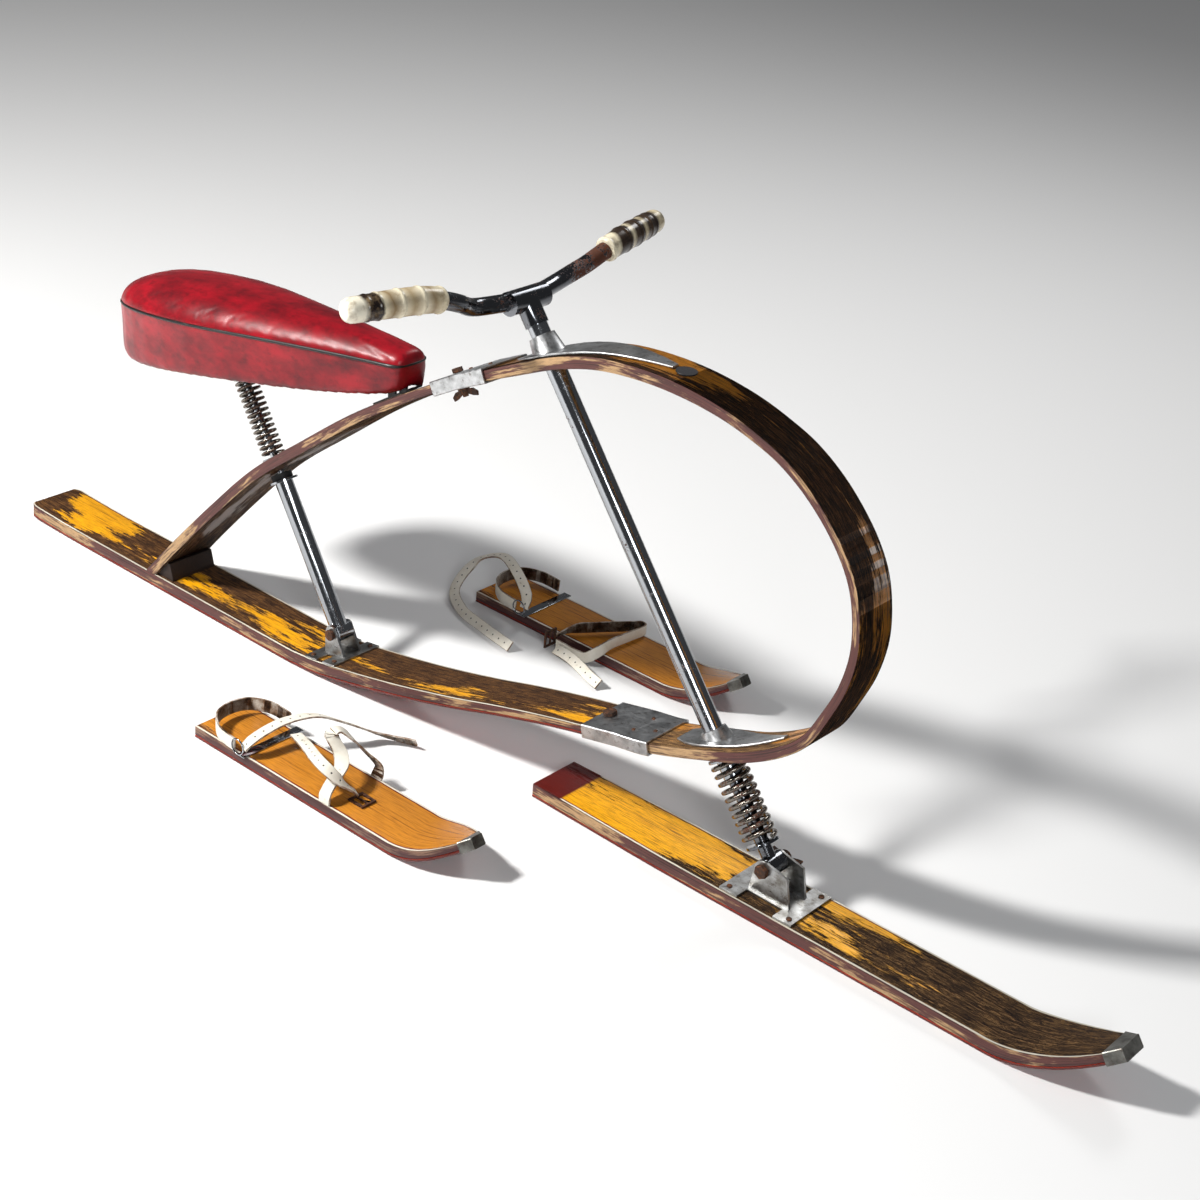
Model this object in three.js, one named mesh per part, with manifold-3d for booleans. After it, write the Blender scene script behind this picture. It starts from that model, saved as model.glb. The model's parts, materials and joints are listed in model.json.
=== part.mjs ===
// Ski bike: a bent-wood frame on a long rear ski, with a steered and sprung front ski,
// a sprung saddle and the pair of short foot skis that the rider wears.
// Millimetres. +X points to the front ski's tip, +Y to the rider's left, +Z up.
// The origin is on the rear ski's sole, on the centre plane, midway along its flat stretch.

import * as THREE from 'three';
import { mergeVertices } from 'three/addons/utils/BufferGeometryUtils.js';
import Module from 'manifold-3d';

const wasm = await Module();
wasm.setup();

// General sizes.
const restGap = 0.3; // between pieces that touch or are screwed together
const headClear = 0.35; // round a bolt or pin in its hole
const earClear = 0.6; // beside a piece that turns between two ears
const overrun = 20; // how far a cutter runs past what it cuts
const edgeChamfer = 1.2;
const soleChamfer = 0.6;
const slopeStep = 0.5;
const roundSides = 20;
const smallSides = 12;
const hexSides = 6;
const squareSides = 4;

// The rear ski: flat under the saddle, then bent up to the lower sleeve.
const skiWidth = 90;
const woodThickness = 16.7;
const soleThickness = 3;
const rearFlatLength = 600;
const tailCurlLength = 150;
const tailCurlHeight = 4;
const tailRoundLength = 14;
const tailRoundShares = [0.86, 0.97, 1];
const rearBendReach = 583;
const rearBendRise = 139;
const rearBendPlaceShares = [0, 0.09, 0.21, 0.37, 0.53, 0.68, 0.83, 1];
const rearBendShares = [0, 0.035, 0.13, 0.284, 0.468, 0.662, 0.835, 1];
const rearBendSteps = 26;
const rearTailSteps = 5;
const spliceThickness = 12; // of both ribbons where a sleeve joins them
const spliceWidth = 76;
const spliceGap = 1;

// The loop: a laminated ribbon bent round in front, from the lower sleeve to the upper one.
const loopReach = 311.5;
const loopRise = 474;
const loopThickness = 14;
const loopShares = [
  [0.149, 0.019], [0.411, 0.078], [0.591, 0.125], [0.761, 0.194], [0.855, 0.254], [0.925, 0.345],
  [0.975, 0.43], [1, 0.528], [0.987, 0.62], [0.95, 0.7], [0.873, 0.779], [0.735, 0.868], [0.591, 0.928],
  [0.45, 0.962], [0.31, 0.985], [0.12, 1], [-0.08, 1], [-0.28, 0.984], [-0.477, 0.944], [-0.722, 0.869],
];
const loopEndShares = [-0.96, 0.792];
const loopThicknessShares = [0.86, 1, 1, 0.86, 0.76, 0.76, 0.86, 1.05, 1.12, 1.12, 0.86];
const loopWaist = 64; // width of the ribbon at the front of the loop
const loopSteps = 52;

// The rear stay: from the top of the rear ski up to the upper sleeve.
const stayThickness = 15;
const stayShares = [
  [0.089, 0.121], [0.239, 0.314], [0.379, 0.481], [0.546, 0.638], [0.704, 0.781], [0.853, 0.897],
];
const stayFootX = -8;
const stayFullShare = 0.6; // the stay thins to the splice past this share of its length
const staySteps = 24;
const footBlockLength = 34;
const footBlockHeight = 26;
const footBlockWidth = 78;
const footBlockNose = 5;

// Sleeves: rectangular tubes folded from sheet, one round each splice.
const sleeveWall = 2.2;
const sleeveClear = 0.6;
const lowerSleeveLength = 104;
const upperSleeveLength = 96;
const sleeveSteps = 4;
const sleeveBoltStep = 1; // the bolt stands at this station of the sleeve
const sleeveBoltRadius = 4;
const boltHeadRadius = 9.5;
const boltHeadHeight = 6.5;
const boltEnd = 3;
const rivetRadius = 3.6;
const rivetHeight = 1.6;
const rivetTopShare = 0.6;
const lowerRivetSteps = [[5, -0.5], [5, 0.5], [7, -0.2]];
const upperRivetSteps = [[3, 0], [6, 0]];

// Wing nuts.
const wingSpan = 46;
const wingHubRadius = 8;
const wingHubHeight = 9;
const wingThickness = 3;
const wingHeight = 15;
const wingShares = [[0.2, 0.15], [0.7, 0.25], [1, 0.6], [0.95, 0.95], [0.65, 0.85], [0.2, 0.55]];

// Steering: a raked tube through the loop, from the handlebar stem to the fork.
const frontPivotReach = 226; // of the front pivot ahead of the lower joint
const frontPivotHeight = 37.7; // of the pivot above the ski's top
const steerTopReach = 116; // the steering axis crosses the loop this far ahead of the upper joint
const steerTubeRadius = 12.7;
const steerTubeWall = 2.4;
const steerClear = 0.6;
const steerWasherHeight = 3;
const steerWasherRadius = 22;
const steerFootReach = 26; // the tube's lower end reaches this far into the spring

// Lugs on the loop, with a collar round the steering tube.
const lugThickness = 3;
const lugWidth = 60;
const lugClear = 0.4;
const lugSteps = 10;
const upperLugRear = 35; // reach of its plate behind the steering axis's crossing
const upperLugFront = 185;
const upperLugShares = [0.6, 0.92, 1, 0.98, 0.92, 0.82, 0.7, 0.56, 0.4, 0.2];
const upperCollarHeight = 20;
const lowerLugRear = 79; // its plate starts and ends this far ahead of the lower joint
const lowerLugFront = 225;
const lowerLugShares = [0.55, 0.88, 1, 0.95, 0.84, 0.7, 0.54, 0.36, 0.16];
const lowerCollarHeight = 10;
const collarFootRadius = 25;
const collarTopRadius = 16.5;
const badgeReach = 201; // ahead of the steering axis's crossing
const badgeRadius = 13;
const badgeHeight = 2;

// Handlebar. The shares give each point's place to the side, its rise and its sweep backward.
const barHeight = 740; // of the bar's middle above the front pivot, along the steering axis
const barRadius = 11;
const barSides = 12;
const barHalfWidth = 262;
const barRise = 38;
const barSweep = 25;
const barShares = [
  [0, 0, 0], [0.14, 0, 0.3], [0.285, 0.05, 0.6], [0.36, 0.25, 0.45], [0.42, 0.46, 0.22],
  [0.55, 0.79, 0.12], [0.65, 0.93, 0.2], [0.8, 0.99, 0.5], [1, 1, 1],
];
const barSteps = 40;
const stemRadius = 15;
const stemReach = 34; // from the bar's middle down over the tube
const stemSocket = 18;
const barClampRadius = 15;
const barClampLength = 62;
const gripStart = 0.56; // share of the bar's length from the middle where the grip starts
const gripClear = 0.35;
const gripRadius = 15.5;
const gripSteps = 11;
const gripSides = 16;
const gripSwellShares = [1.1, 1, 0.97, 1.02, 1.04, 1, 0.98, 1.04, 1.12, 1.06];
const gripEndCap = 6;

// Fork: a rod that slides up into the steering tube against the front spring.
const forkRodRadius = 9;
const forkEyeRadius = 13;
const forkEyeWidth = 28.8;
const forkSeatHeight = 27; // from the bolt's axis to the spring's lower seat
const forkSeatThickness = 4;
const forkRodReach = 90; // of the rod up inside the tube
const frontSpringRadius = 21.5;
const frontSpringWire = 6;
const frontSpringTurns = 10;

// Springs.
const springSteps = 8;
const springSides = 5;

// Front ski.
const frontSkiTail = 352; // of the front ski behind its pivot
const frontSkiNose = 490; // and ahead of it
const frontTipReach = 148;
const frontTipRise = 66;
const frontTailShare = 0.89; // of the ski's width, at the tail
const frontTailTaper = 210;
const frontTipShares = [1, 1, 0.99, 0.95, 0.88, 0.77, 0.62, 0.38];
const tipPower = 1.6;
const tipThicknessShare = 0.6;
const tipSteps = 9;
const tipCapSteps = 2;
const tipCapWall = 1.4;

// Brackets: a plate screwed to a ski with two ears round a bolt or pin.
const bracketPlate = 3.2;
const earThickness = 3.4;
const earArcSteps = 8;
const screwInset = 9;
const boltRadius = 6;
const frontPlateLength = 108;
const frontPlateWidth = 84;
const frontPlateOffset = 10;
const frontLobe = 27; // length of the cross straps at the plate's ends
const frontEar = { rear: 18, front: 44, radius: 13, nose: [[35, 5]] };
const rearPlateLength = 60;
const rearPlateWidth = 86;
const rearPlateOffset = 0;
const rearLobe = 24;
const rearEar = { rear: 17, front: 22, radius: 12, nose: [] };
const pinHeadRadius = 8;
const pinHeadHeight = 5;
const pinProud = 3;
const bracketSink = 2; // a bracket's plate starts this deep and is cut by the ski's top

// Seat post: a tube pinned to the rear ski, with a rod that slides in it under the spring.
const postFaceX = 359.5; // where the bracket stands on the ski
const postPivotHeight = 33; // of the pin above the ski's top
const postStayX = 218; // where the post crosses the stay's centre line
const postTubeRadius = 12.7;
const postTubeWall = 3;
const postHollowFoot = 30;
const postEyeRadius = 13.5;
const postEyeWidth = 26;
const postRodRadius = 5.5;
const postRodLength = 285;
const postRodProud = 4;
const postFlangeRadius = 21;
const postFlangeThickness = 3;
const postBushRadius = 15;
const postBushHeight = 9;
const postPinRadius = 5;
const rearSpringRadius = 16;
const rearSpringWire = 4.2;
const rearSpringTurns = 16;
const springWasherRadius = 18;
const springWasherThickness = 3;

// Saddle.
const seatNose = 24; // reach of the saddle's nose ahead of the hinge pin
const seatLength = 540;
const seatHalfWidth = 80;
const seatPlaceShares = [0.004, 0.03, 0.07, 0.12, 0.18, 0.26, 0.35, 0.45, 0.56, 0.68, 0.8, 0.9, 0.97, 1];
const seatWidthShares = [0.42, 0.6, 0.75, 0.86, 0.94, 0.99, 1, 0.94, 0.82, 0.68, 0.53, 0.41, 0.34, 0.29];
const seatCrownShares = [0.45, 0.68, 0.86, 0.96, 1, 1, 0.97, 0.9, 0.8, 0.69, 0.59, 0.5, 0.42, 0.34];
const seatDepthShares = [0.8, 0.93, 0.98, 1, 1, 1, 1, 1, 1, 1, 1, 1, 0.95, 0.85];
const seatSideShares = [[0.1, 0.985], [0.4, 0.95], [0.75, 0.93], [1, 0.9]];
const seatFootShare = 0.9;
const seatEndSet = 2.7; // the board's plan starts this far in from the saddle's rear end
const seatPipingArch = 7;
const seatNoseLift = 6.5; // of the nose's lower edge above the hinge pin
const seatNoseDepth = 33.2; // from the piping down to the lower edge
const seatRearDepth = 85;
const seatRearDrop = 68; // of the piping from the nose to the rear
const seatBottomSag = 3;
const seatCrown = 36;
const crownSquareness = 0.8;
const seatTopSteps = 14;
const pipingRadius = 2.6;
const pipingSides = 6;
const baseBoard = 9;
const baseInset = 12;
const baseLiftRear = 42; // from the cushion's lower edge up to the board's underside
const baseLiftFront = 8;

// Hinge under the saddle's nose, and the clip that the rear spring pushes on.
const hingePinSet = 140; // of the hinge pin behind the upper joint
const hingePinLift = 14;
const hingePinRadius = 3.5;
const hingePinProud = 2;
const hingeLeafWidth = 16;
const hingeEarThickness = 3;
const hingeEarReach = 6.5;
const hingeLeafReach = 5.5;
const hingeFootLength = 76;
const hingeFootThickness = 3;
const seatClipWall = 3;
const seatClipHalfWidth = 21;
const seatClipHeight = 37; // from its floor up to the board
const seatClipSlot = 0.8;
const seatClipSlotReach = 12; // how far the rod drifts forward in the slot

// Foot skis: one for each boot, standing beside the bike.
const footLength = 472;
const footWidth = 92;
const footWood = 13.7;
const footTipReach = 110;
const footTipRise = 48;
const footTipShares = [1, 1, 1, 0.985, 0.925, 0.815, 0.65, 0.43, 0.17];
const rightFootX = 363; // of each foot ski's tail
const leftFootX = 341;
const rightFootY = -223;
const leftFootY = 333;
const strapThickness = 2.6;
const strapWidth = 19;
const strapSteps = 14;
const heelStrapX = 82;
const heelStrapReach = 66;
const heelStrapFoot = 27.5; // of its middle line above the floor
const heelStrapHeight = 6;
const heelStrapTurn = 18; // the strap runs straight along the ski's sides this far
const heelStrapShares = [[0, 1, 0], [-0.25, 1, 0.2], [-0.55, 0.93, 0.5], [-0.9, 0.55, 0.9], [-1, 0, 1]];
const toeStrapSteps = 20;
const tongueSteps = 8;
const strapFootZ = 8;
const toeBuckleFoot = 2;
const edgeLoopShares = [0.4767, -0.0318]; // inside of the far ski's toe strap, which lies on its edge
const rightToeShares = [
  [0.5254, -0.0943, 0.0375], [0.5254, -0.0922, 0.0636], [0.5127, -0.0508, 0.0881], [0.5064, -0.0178, 0.1123],
  [0.4767, 0.0042, 0.1335], [0.4301, 0.0169, 0.1631], [0.4364, 0.0381, 0.1716], [0.4619, 0.0593, 0.1483],
  [0.4926, 0.0869, 0.1049], [0.5233, 0.1059, 0.0699], [0.5275, 0.1017, 0.0551], [0.5275, 0.0943, 0.0375],
];
const leftToeShares = [
  [0.3644, -0.1229, 0.0424], [0.3941, -0.0763, 0.0604], [0.4343, -0.0169, 0.0614], [0.4915, 0.0593, 0.0614],
  [0.5191, 0.0975, 0.0604], [0.5403, 0.0932, 0.0604], [0.5381, 0.0212, 0.0604], [0.5318, -0.0636, 0.0604],
  [0.5254, -0.1144, 0.0487], [0.5021, -0.1398, 0.0297], [0.4492, -0.1441, 0.0258], [0.3814, -0.1398, 0.0258],
];
const rightTongueShares = [
  [0.2945, 0.0106, 0.1017], [0.3708, -0.0169, 0.1102], [0.4449, -0.0551, 0.1271], [0.5042, -0.0742, 0.1303],
  [0.5423, -0.0593, 0.1025], [0.5614, -0.0127, 0.0519],
];
const leftTongueShares = [
  [0.3962, -0.1589, 0.0212], [0.4555, -0.1695, 0.0254], [0.5191, -0.1864, 0.0233], [0.572, -0.2034, 0.0191],
  [0.6229, -0.2182, 0.0191],
];
const rightInstepShares = [
  [0.2097, -0.1, 0.0636], [0.2203, -0.0869, 0.0847], [0.2267, -0.017, 0.1038], [0.2352, 0.0466, 0.108],
  [0.2585, 0.1186, 0.1017], [0.3093, 0.1886, 0.072], [0.356, 0.2627, 0.03], [0.398, 0.2966, 0.0187],
  [0.4534, 0.322, 0.0187],
];
const leftInstepShares = [
  [0.2087, -0.1017, 0.0636], [0.2076, -0.0911, 0.0975], [0.1208, -0.0551, 0.1483], [0.0275, -0.0191, 0.1483],
  [-0.072, -0.0275, 0.0911], [-0.0636, -0.1271, 0.0339], [0.0275, -0.1928, 0.0191], [0.1653, -0.2288, 0.0191],
  [0.2945, -0.2521, 0.0191],
];
const strapSideGap = 0.4;
const strapBulge = 1.4; // room beside a strap for its bend
const ringRadius = 11;
const ringWire = 2.2;
const ringReach = 8; // of the ring's middle ahead of the heel strap's ends
const heelPlateLength = 14;
const heelPlateThickness = 1.6;
const ringSteps = 16;
const buckleLength = 26;
const buckleWidth = 24;
const buckleWall = 3;

const finish = {
  wood: { color: 0xd08a2e, roughness: 0.45, metalness: 0 },
  footWood: { color: 0xc47f34, roughness: 0.4, metalness: 0 },
  darkWood: { color: 0x4a2a18, roughness: 0.6, metalness: 0 },
  sole: { color: 0xc8321a, roughness: 0.35, metalness: 0 },
  chrome: { color: 0xd4d6da, roughness: 0.12, metalness: 1 },
  aluminium: { color: 0xb9bbbd, roughness: 0.35, metalness: 1 },
  rust: { color: 0x5b3a26, roughness: 0.75, metalness: 0.6 },
  black: { color: 0x1c1b1a, roughness: 0.5, metalness: 0.2 },
  leather: { color: 0xa81220, roughness: 0.45, metalness: 0 },
  strap: { color: 0xd9d0bd, roughness: 0.65, metalness: 0 },
  grip: { color: 0xe4dac0, roughness: 0.35, metalness: 0 },
};

const root = new THREE.Group();

function material(name) {
  return new THREE.MeshStandardMaterial(finish[name]);
}

function add(parent, name, geometry, look) {
  const mesh = new THREE.Mesh(geometry, material(look));
  mesh.name = name;
  parent.add(mesh);
  return mesh;
}

function at(x, y, z) {
  return new THREE.Matrix4().makeTranslation(x, y, z);
}

// Booleans.

function solid(geometry) {
  const bare = geometry.clone();
  bare.deleteAttribute('normal');
  bare.deleteAttribute('uv');
  const merged = mergeVertices(bare);
  const vertProperties = new Float32Array(merged.attributes.position.array);
  const triVerts = new Uint32Array(merged.index.array);
  return new wasm.Manifold(new wasm.Mesh({ numProp: 3, vertProperties, triVerts }));
}

function geometryOf(body) {
  const mesh = body.getMesh();
  const geometry = new THREE.BufferGeometry();
  geometry.setAttribute('position', new THREE.BufferAttribute(new Float32Array(mesh.vertProperties), 3));
  geometry.setIndex(new THREE.BufferAttribute(new Uint32Array(mesh.triVerts), 1));
  return geometry;
}

function cut(geometry, ...tools) {
  return geometryOf(tools.reduce((body, tool) => body.subtract(solid(tool)), solid(geometry)));
}

function join(geometry, ...others) {
  return geometryOf(others.reduce((body, other) => body.add(solid(other)), solid(geometry)));
}

// The largest of the bodies that a cut leaves.
function mainPiece(geometry) {
  const pieces = solid(geometry).decompose();
  return geometryOf(pieces.reduce((best, piece) => (piece.volume() > best.volume() ? piece : best)));
}

// Shapes.

function block(lengthX, lengthY, lengthZ, centre) {
  const box = new THREE.BoxGeometry(lengthX, lengthY, lengthZ);
  return box.applyMatrix4(at(centre.x, centre.y, centre.z));
}

function place(x, y, z) {
  return new THREE.Vector3(x, y, z);
}

// A round bar or cone between two points.
function bar(from, to, radius, sides = roundSides, endRadius = radius) {
  const length = from.distanceTo(to);
  const body = new THREE.CylinderGeometry(endRadius, radius, length, sides);
  const direction = to.clone().sub(from).normalize();
  const turn = new THREE.Quaternion().setFromUnitVectors(new THREE.Vector3(0, 1, 0), direction);
  const middle = from.clone().add(to).multiplyScalar(1 / 2);
  return body.applyMatrix4(new THREE.Matrix4().compose(middle, turn, new THREE.Vector3(1, 1, 1)));
}

function crossBar(x, z, fromY, toY, radius, sides = roundSides) {
  return bar(place(x, fromY, z), place(x, toY, z), radius, sides);
}

function upright(radius, fromZ, toZ, sides = roundSides, endRadius = radius) {
  return bar(place(0, 0, fromZ), place(0, 0, toZ), radius, sides, endRadius);
}

function volumeSign(geometry) {
  const p = geometry.attributes.position;
  const index = geometry.index.array;
  const [a, b, c] = [new THREE.Vector3(), new THREE.Vector3(), new THREE.Vector3()];
  let sum = 0;
  for (let i = 0; i < index.length; i += 3) {
    a.fromBufferAttribute(p, index[i]);
    b.fromBufferAttribute(p, index[i + 1]);
    c.fromBufferAttribute(p, index[i + 2]);
    sum += a.dot(b.cross(c));
  }
  return Math.sign(sum);
}

function outward(geometry) {
  if (volumeSign(geometry) < 0) {
    const index = geometry.index.array;
    for (let i = 0; i < index.length; i += 3) {
      [index[i + 1], index[i + 2]] = [index[i + 2], index[i + 1]];
    }
  }
  return geometry;
}

// A closed body through a row of rings that all have the same number of points.
// An endless one joins its last ring to its first and has no end faces.
function loft(rings, endless = false) {
  const count = rings[0].length;
  const total = rings.length * count;
  const index = [];
  const spans = endless ? rings.length : rings.length - 1;
  for (let i = 0; i < spans; i += 1) {
    for (let j = 0; j < count; j += 1) {
      const [a, b] = [i * count + j, i * count + ((j + 1) % count)];
      const [c, d] = [(a + count) % total, (b + count) % total];
      index.push(a, c, d, a, d, b);
    }
  }
  const end = total - count;
  for (let j = 1; j + 1 < count && !endless; j += 1) {
    index.push(0, j, j + 1, end, end + j + 1, end + j);
  }
  const geometry = new THREE.BufferGeometry();
  const positions = rings.flat().flatMap((point) => point.toArray());
  geometry.setAttribute('position', new THREE.Float32BufferAttribute(positions, 3));
  geometry.setIndex(new THREE.BufferAttribute(new Uint32Array(index), 1));
  return outward(geometry);
}

// The chamfered oblong section of a ribbon at one station.
function ribbonRing(station) {
  const { centre, up, side, width, thickness } = station;
  const [w, h] = [width / 2, thickness / 2];
  const c = Math.min(station.chamfer ?? edgeChamfer, h / 2);
  const corners = [
    [-w, c - h], [c - w, -h], [w - c, -h], [w, c - h],
    [w, h - c], [w - c, h], [c - w, h], [-w, h - c],
  ];
  return corners.map(([a, b]) => centre.clone().addScaledVector(side, a).addScaledVector(up, b));
}

function ribbon(stations) {
  return loft(stations.map(ribbonRing));
}

function grown(stations, extra) {
  return stations.map((s) => ({ ...s, width: s.width + 2 * extra, thickness: s.thickness + 2 * extra }));
}

// Stations of a ribbon that bends in the centre plane. Up is to the left of its run.
function station(x, z, tangent, width, thickness) {
  const up = new THREE.Vector3(-tangent.z, 0, tangent.x);
  return { centre: place(x, 0, z), up, side: new THREE.Vector3(0, 1, 0), tangent, width, thickness };
}

function along(curve, share) {
  const point = curve.getPointAt(share);
  const tangent = curve.getTangentAt(share);
  return { point, tangent: new THREE.Vector3(tangent.x, 0, tangent.z).normalize() };
}

function blend(shares, share) {
  const t = share * (shares.length - 1);
  const i = Math.min(Math.floor(t), shares.length - 2);
  return shares[i] + (shares[i + 1] - shares[i]) * (t - i);
}

function smooth(share) {
  return share * share * (3 - 2 * share);
}

function offCentre(mark, distance) {
  const up = new THREE.Vector3(-mark.tangent.z, 0, mark.tangent.x);
  return mark.point.clone().addScaledVector(up, distance);
}

// Where a curve crosses the line through a point along a direction, as a share of its length.
function crossing(curve, point, direction, from, to) {
  const across = new THREE.Vector3(direction.z, 0, -direction.x);
  const offset = (share) => curve.getPointAt(share).sub(point).dot(across);
  let [low, high] = [from, to];
  for (let i = 0; i < 40; i += 1) {
    const middle = (low + high) / 2;
    if (offset(low) * offset(middle) <= 0) {
      high = middle;
    } else {
      low = middle;
    }
  }
  return (low + high) / 2;
}

function upOf(mark) {
  return new THREE.Vector3(-mark.tangent.z, 0, mark.tangent.x);
}

// A plain ring, turned about Z.
function ring(innerRadius, outerRadius, fromZ, toZ, sides = roundSides) {
  const section = [
    [innerRadius, fromZ], [outerRadius, fromZ], [outerRadius, toZ], [innerRadius, toZ], [innerRadius, fromZ],
  ];
  return turned(section, sides);
}

function turned(section, sides = roundSides) {
  const profile = section.map(([radius, z]) => new THREE.Vector2(radius, z));
  const body = new THREE.LatheGeometry(profile, sides);
  body.applyMatrix4(new THREE.Matrix4().makeRotationX(Math.PI / 2));
  body.deleteAttribute('normal');
  body.deleteAttribute('uv');
  return outward(dropSlivers(mergeVertices(body)));
}

function dropSlivers(geometry) {
  const index = Array.from(geometry.index.array);
  const kept = [];
  for (let i = 0; i < index.length; i += 3) {
    const [a, b, c] = index.slice(i, i + 3);
    if (a !== b && b !== c && a !== c) kept.push(a, b, c);
  }
  geometry.setIndex(new THREE.BufferAttribute(new Uint32Array(kept), 1));
  return geometry;
}

// A round rod along a row of points, each with its own radius. Its sections lean on the X axis.
function rodAlong(marks, sides, endless = false) {
  const ahead = new THREE.Vector3(1, 0, 0);
  return loft(marks.map(({ point, tangent, radius }) => {
    const across = new THREE.Vector3().crossVectors(ahead, tangent).normalize();
    const over = new THREE.Vector3().crossVectors(tangent, across);
    return roundRing(point, across, over, radius, sides);
  }), endless);
}

function roundRing(centre, across, over, radius, sides) {
  return Array.from({ length: sides }, (unused, j) => {
    const angle = (2 * Math.PI * j) / sides;
    return centre.clone()
      .addScaledVector(across, radius * Math.cos(angle))
      .addScaledVector(over, radius * Math.sin(angle));
  });
}

// A flat plate: an outline in X and Z, given a thickness along Y.
function sidePlate(outline, fromY, toY) {
  const shape = new THREE.Shape(outline.map(([x, z]) => new THREE.Vector2(x, z)));
  const plate = new THREE.ExtrudeGeometry(shape, { depth: toY - fromY, bevelEnabled: false });
  plate.applyMatrix4(new THREE.Matrix4().makeRotationX(Math.PI / 2));
  return plate.applyMatrix4(at(0, toY, 0));
}

function arcPoints(x, z, radius, from, to, steps) {
  return Array.from({ length: steps + 1 }, (unused, i) => {
    const angle = from + ((to - from) * i) / steps;
    return [x + radius * Math.cos(angle), z + radius * Math.sin(angle)];
  });
}

// Springs.

function springPoints(radius, wire, turns, length) {
  const steps = springSteps * turns;
  const rise = length - wire;
  const points = Array.from({ length: steps + 1 }, (unused, i) => {
    const angle = (2 * Math.PI * i) / springSteps;
    return place(radius * Math.cos(angle), radius * Math.sin(angle), wire / 2 + (rise * i) / steps);
  });
  const first = points[0].clone().add(place(0, -wire, 0));
  const last = points[steps].clone().add(place(0, wire, 0));
  return [first, ...points, last];
}

function springRings(points, wire) {
  const tangentAt = (i) => {
    const before = points[Math.max(i - 1, 0)];
    const after = points[Math.min(i + 1, points.length - 1)];
    return after.clone().sub(before).normalize();
  };
  return points.map((point, i) => {
    const tangent = tangentAt(i);
    const outwards = place(point.x, point.y, 0).normalize();
    const over = new THREE.Vector3().crossVectors(tangent, outwards).normalize();
    const across = new THREE.Vector3().crossVectors(over, tangent).normalize();
    return roundRing(point, across, over, wire / 2, springSides);
  });
}

function springGap(points, wire) {
  let least = Infinity;
  for (let i = 0; i < points.length; i += 1) {
    for (let j = i + springSteps / 2; j < points.length; j += 1) {
      least = Math.min(least, points[i].distanceTo(points[j]) - wire);
    }
  }
  return least;
}

function spring(name, radius, wire, turns, length) {
  const points = springPoints(radius - wire / 2, wire, turns, length);
  console.log(`${name}: least gap between turns ${springGap(points, wire).toFixed(2)} mm`);
  return loft(springRings(points, wire));
}

// Fasteners, along Z with the seat of the head or nut at Z 0.

function wingNut(boreRadius) {
  const hub = upright(wingHubRadius, 0, wingHubHeight, smallSides, boreRadius + wingThickness);
  const wing = (side) => {
    const outline = wingShares.map(([a, b]) => [side * wingSpan / 2 * a, wingHeight * b]);
    return sidePlate(outline, -wingThickness / 2, wingThickness / 2);
  };
  const bore = upright(boreRadius + headClear, -overrun, overrun + wingHeight, smallSides);
  return cut(join(hub, wing(1), wing(-1)), bore);
}


function sleeveAxisTurn() {
  return new THREE.Matrix4().makeRotationX(Math.PI);
}

// Profiles. A ski is a set of places along X with its underside, width and wood at each.

const flatHalf = rearFlatLength / 2;
const skiThickness = soleThickness + restGap + woodThickness;
const lowerJointX = flatHalf + rearBendReach;
const lowerJointZ = rearBendRise + spliceThickness / 2;

function spread(from, to, steps) {
  return Array.from({ length: steps + 1 }, (unused, i) => from + ((to - from) * i) / steps);
}

const bendPoints = rearBendPlaceShares.map((share, i) => place(share, 0, rearBendShares[i]));
const bendCurve = new THREE.CatmullRomCurve3(bendPoints, false, 'centripetal');

function bendShare(share) {
  let [low, high] = [0, 1];
  for (let i = 0; i < 30; i += 1) {
    const middle = (low + high) / 2;
    if (bendCurve.getPoint(middle).x < share) {
      low = middle;
    } else {
      high = middle;
    }
  }
  return bendCurve.getPoint(low).z;
}

function rearUnderside(x) {
  const curl = tailCurlLength - flatHalf;
  if (x < curl) return tailCurlHeight * ((curl - x) / tailCurlLength) ** 2;
  return x > flatHalf ? rearBendRise * bendShare((x - flatHalf) / rearBendReach) : 0;
}

function rearWidth(x) {
  const share = Math.max(0, (x - flatHalf) / rearBendReach);
  const round = Math.min(1, (x + flatHalf) / tailRoundLength);
  return (skiWidth + (spliceWidth - skiWidth) * share) * blend(tailRoundShares, round);
}

// The wood of the rear ski thins from its full thickness down to the splice.
function rearWood(x) {
  const share = smooth(Math.max(0, (x - flatHalf) / rearBendReach));
  const atSplice = spliceThickness - soleThickness - restGap;
  return woodThickness + (atSplice - woodThickness) * share;
}

function rearPlaces() {
  const curl = tailCurlLength - flatHalf;
  const tail = spread(tailRoundLength - flatHalf, curl, rearTailSteps);
  const ends = [-flatHalf, tailRoundLength / 2 - flatHalf];
  return [...ends, ...tail, ...spread(flatHalf, lowerJointX - spliceGap, rearBendSteps)];
}

const rearSki = { places: rearPlaces(), height: rearUnderside, width: rearWidth, wood: rearWood };

// A ski that is flat from its tail and rises at its tip.
function tippedSki(tailX, tipX, reach, rise, width, wood, tipShares, tailShare, tailTaper) {
  const flatEnd = tipX - reach;
  const tipPart = (x) => Math.max(0, (x - flatEnd) / reach);
  const tailPart = (x) => Math.min(1, Math.max(0, (x - tailX) / tailTaper));
  return {
    places: [tailX, tailX + tailTaper, ...spread(flatEnd, tipX, tipSteps)],
    height: (x) => rise * tipPart(x) ** tipPower,
    width: (x) => {
      const tail = tailShare + (1 - tailShare) * tailPart(x);
      return width * tail * blend(tipShares, Math.min(1, tipPart(x)));
    },
    wood: (x) => wood * (1 - (1 - tipThicknessShare) * smooth(Math.min(1, tipPart(x)))),
  };
}

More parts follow.
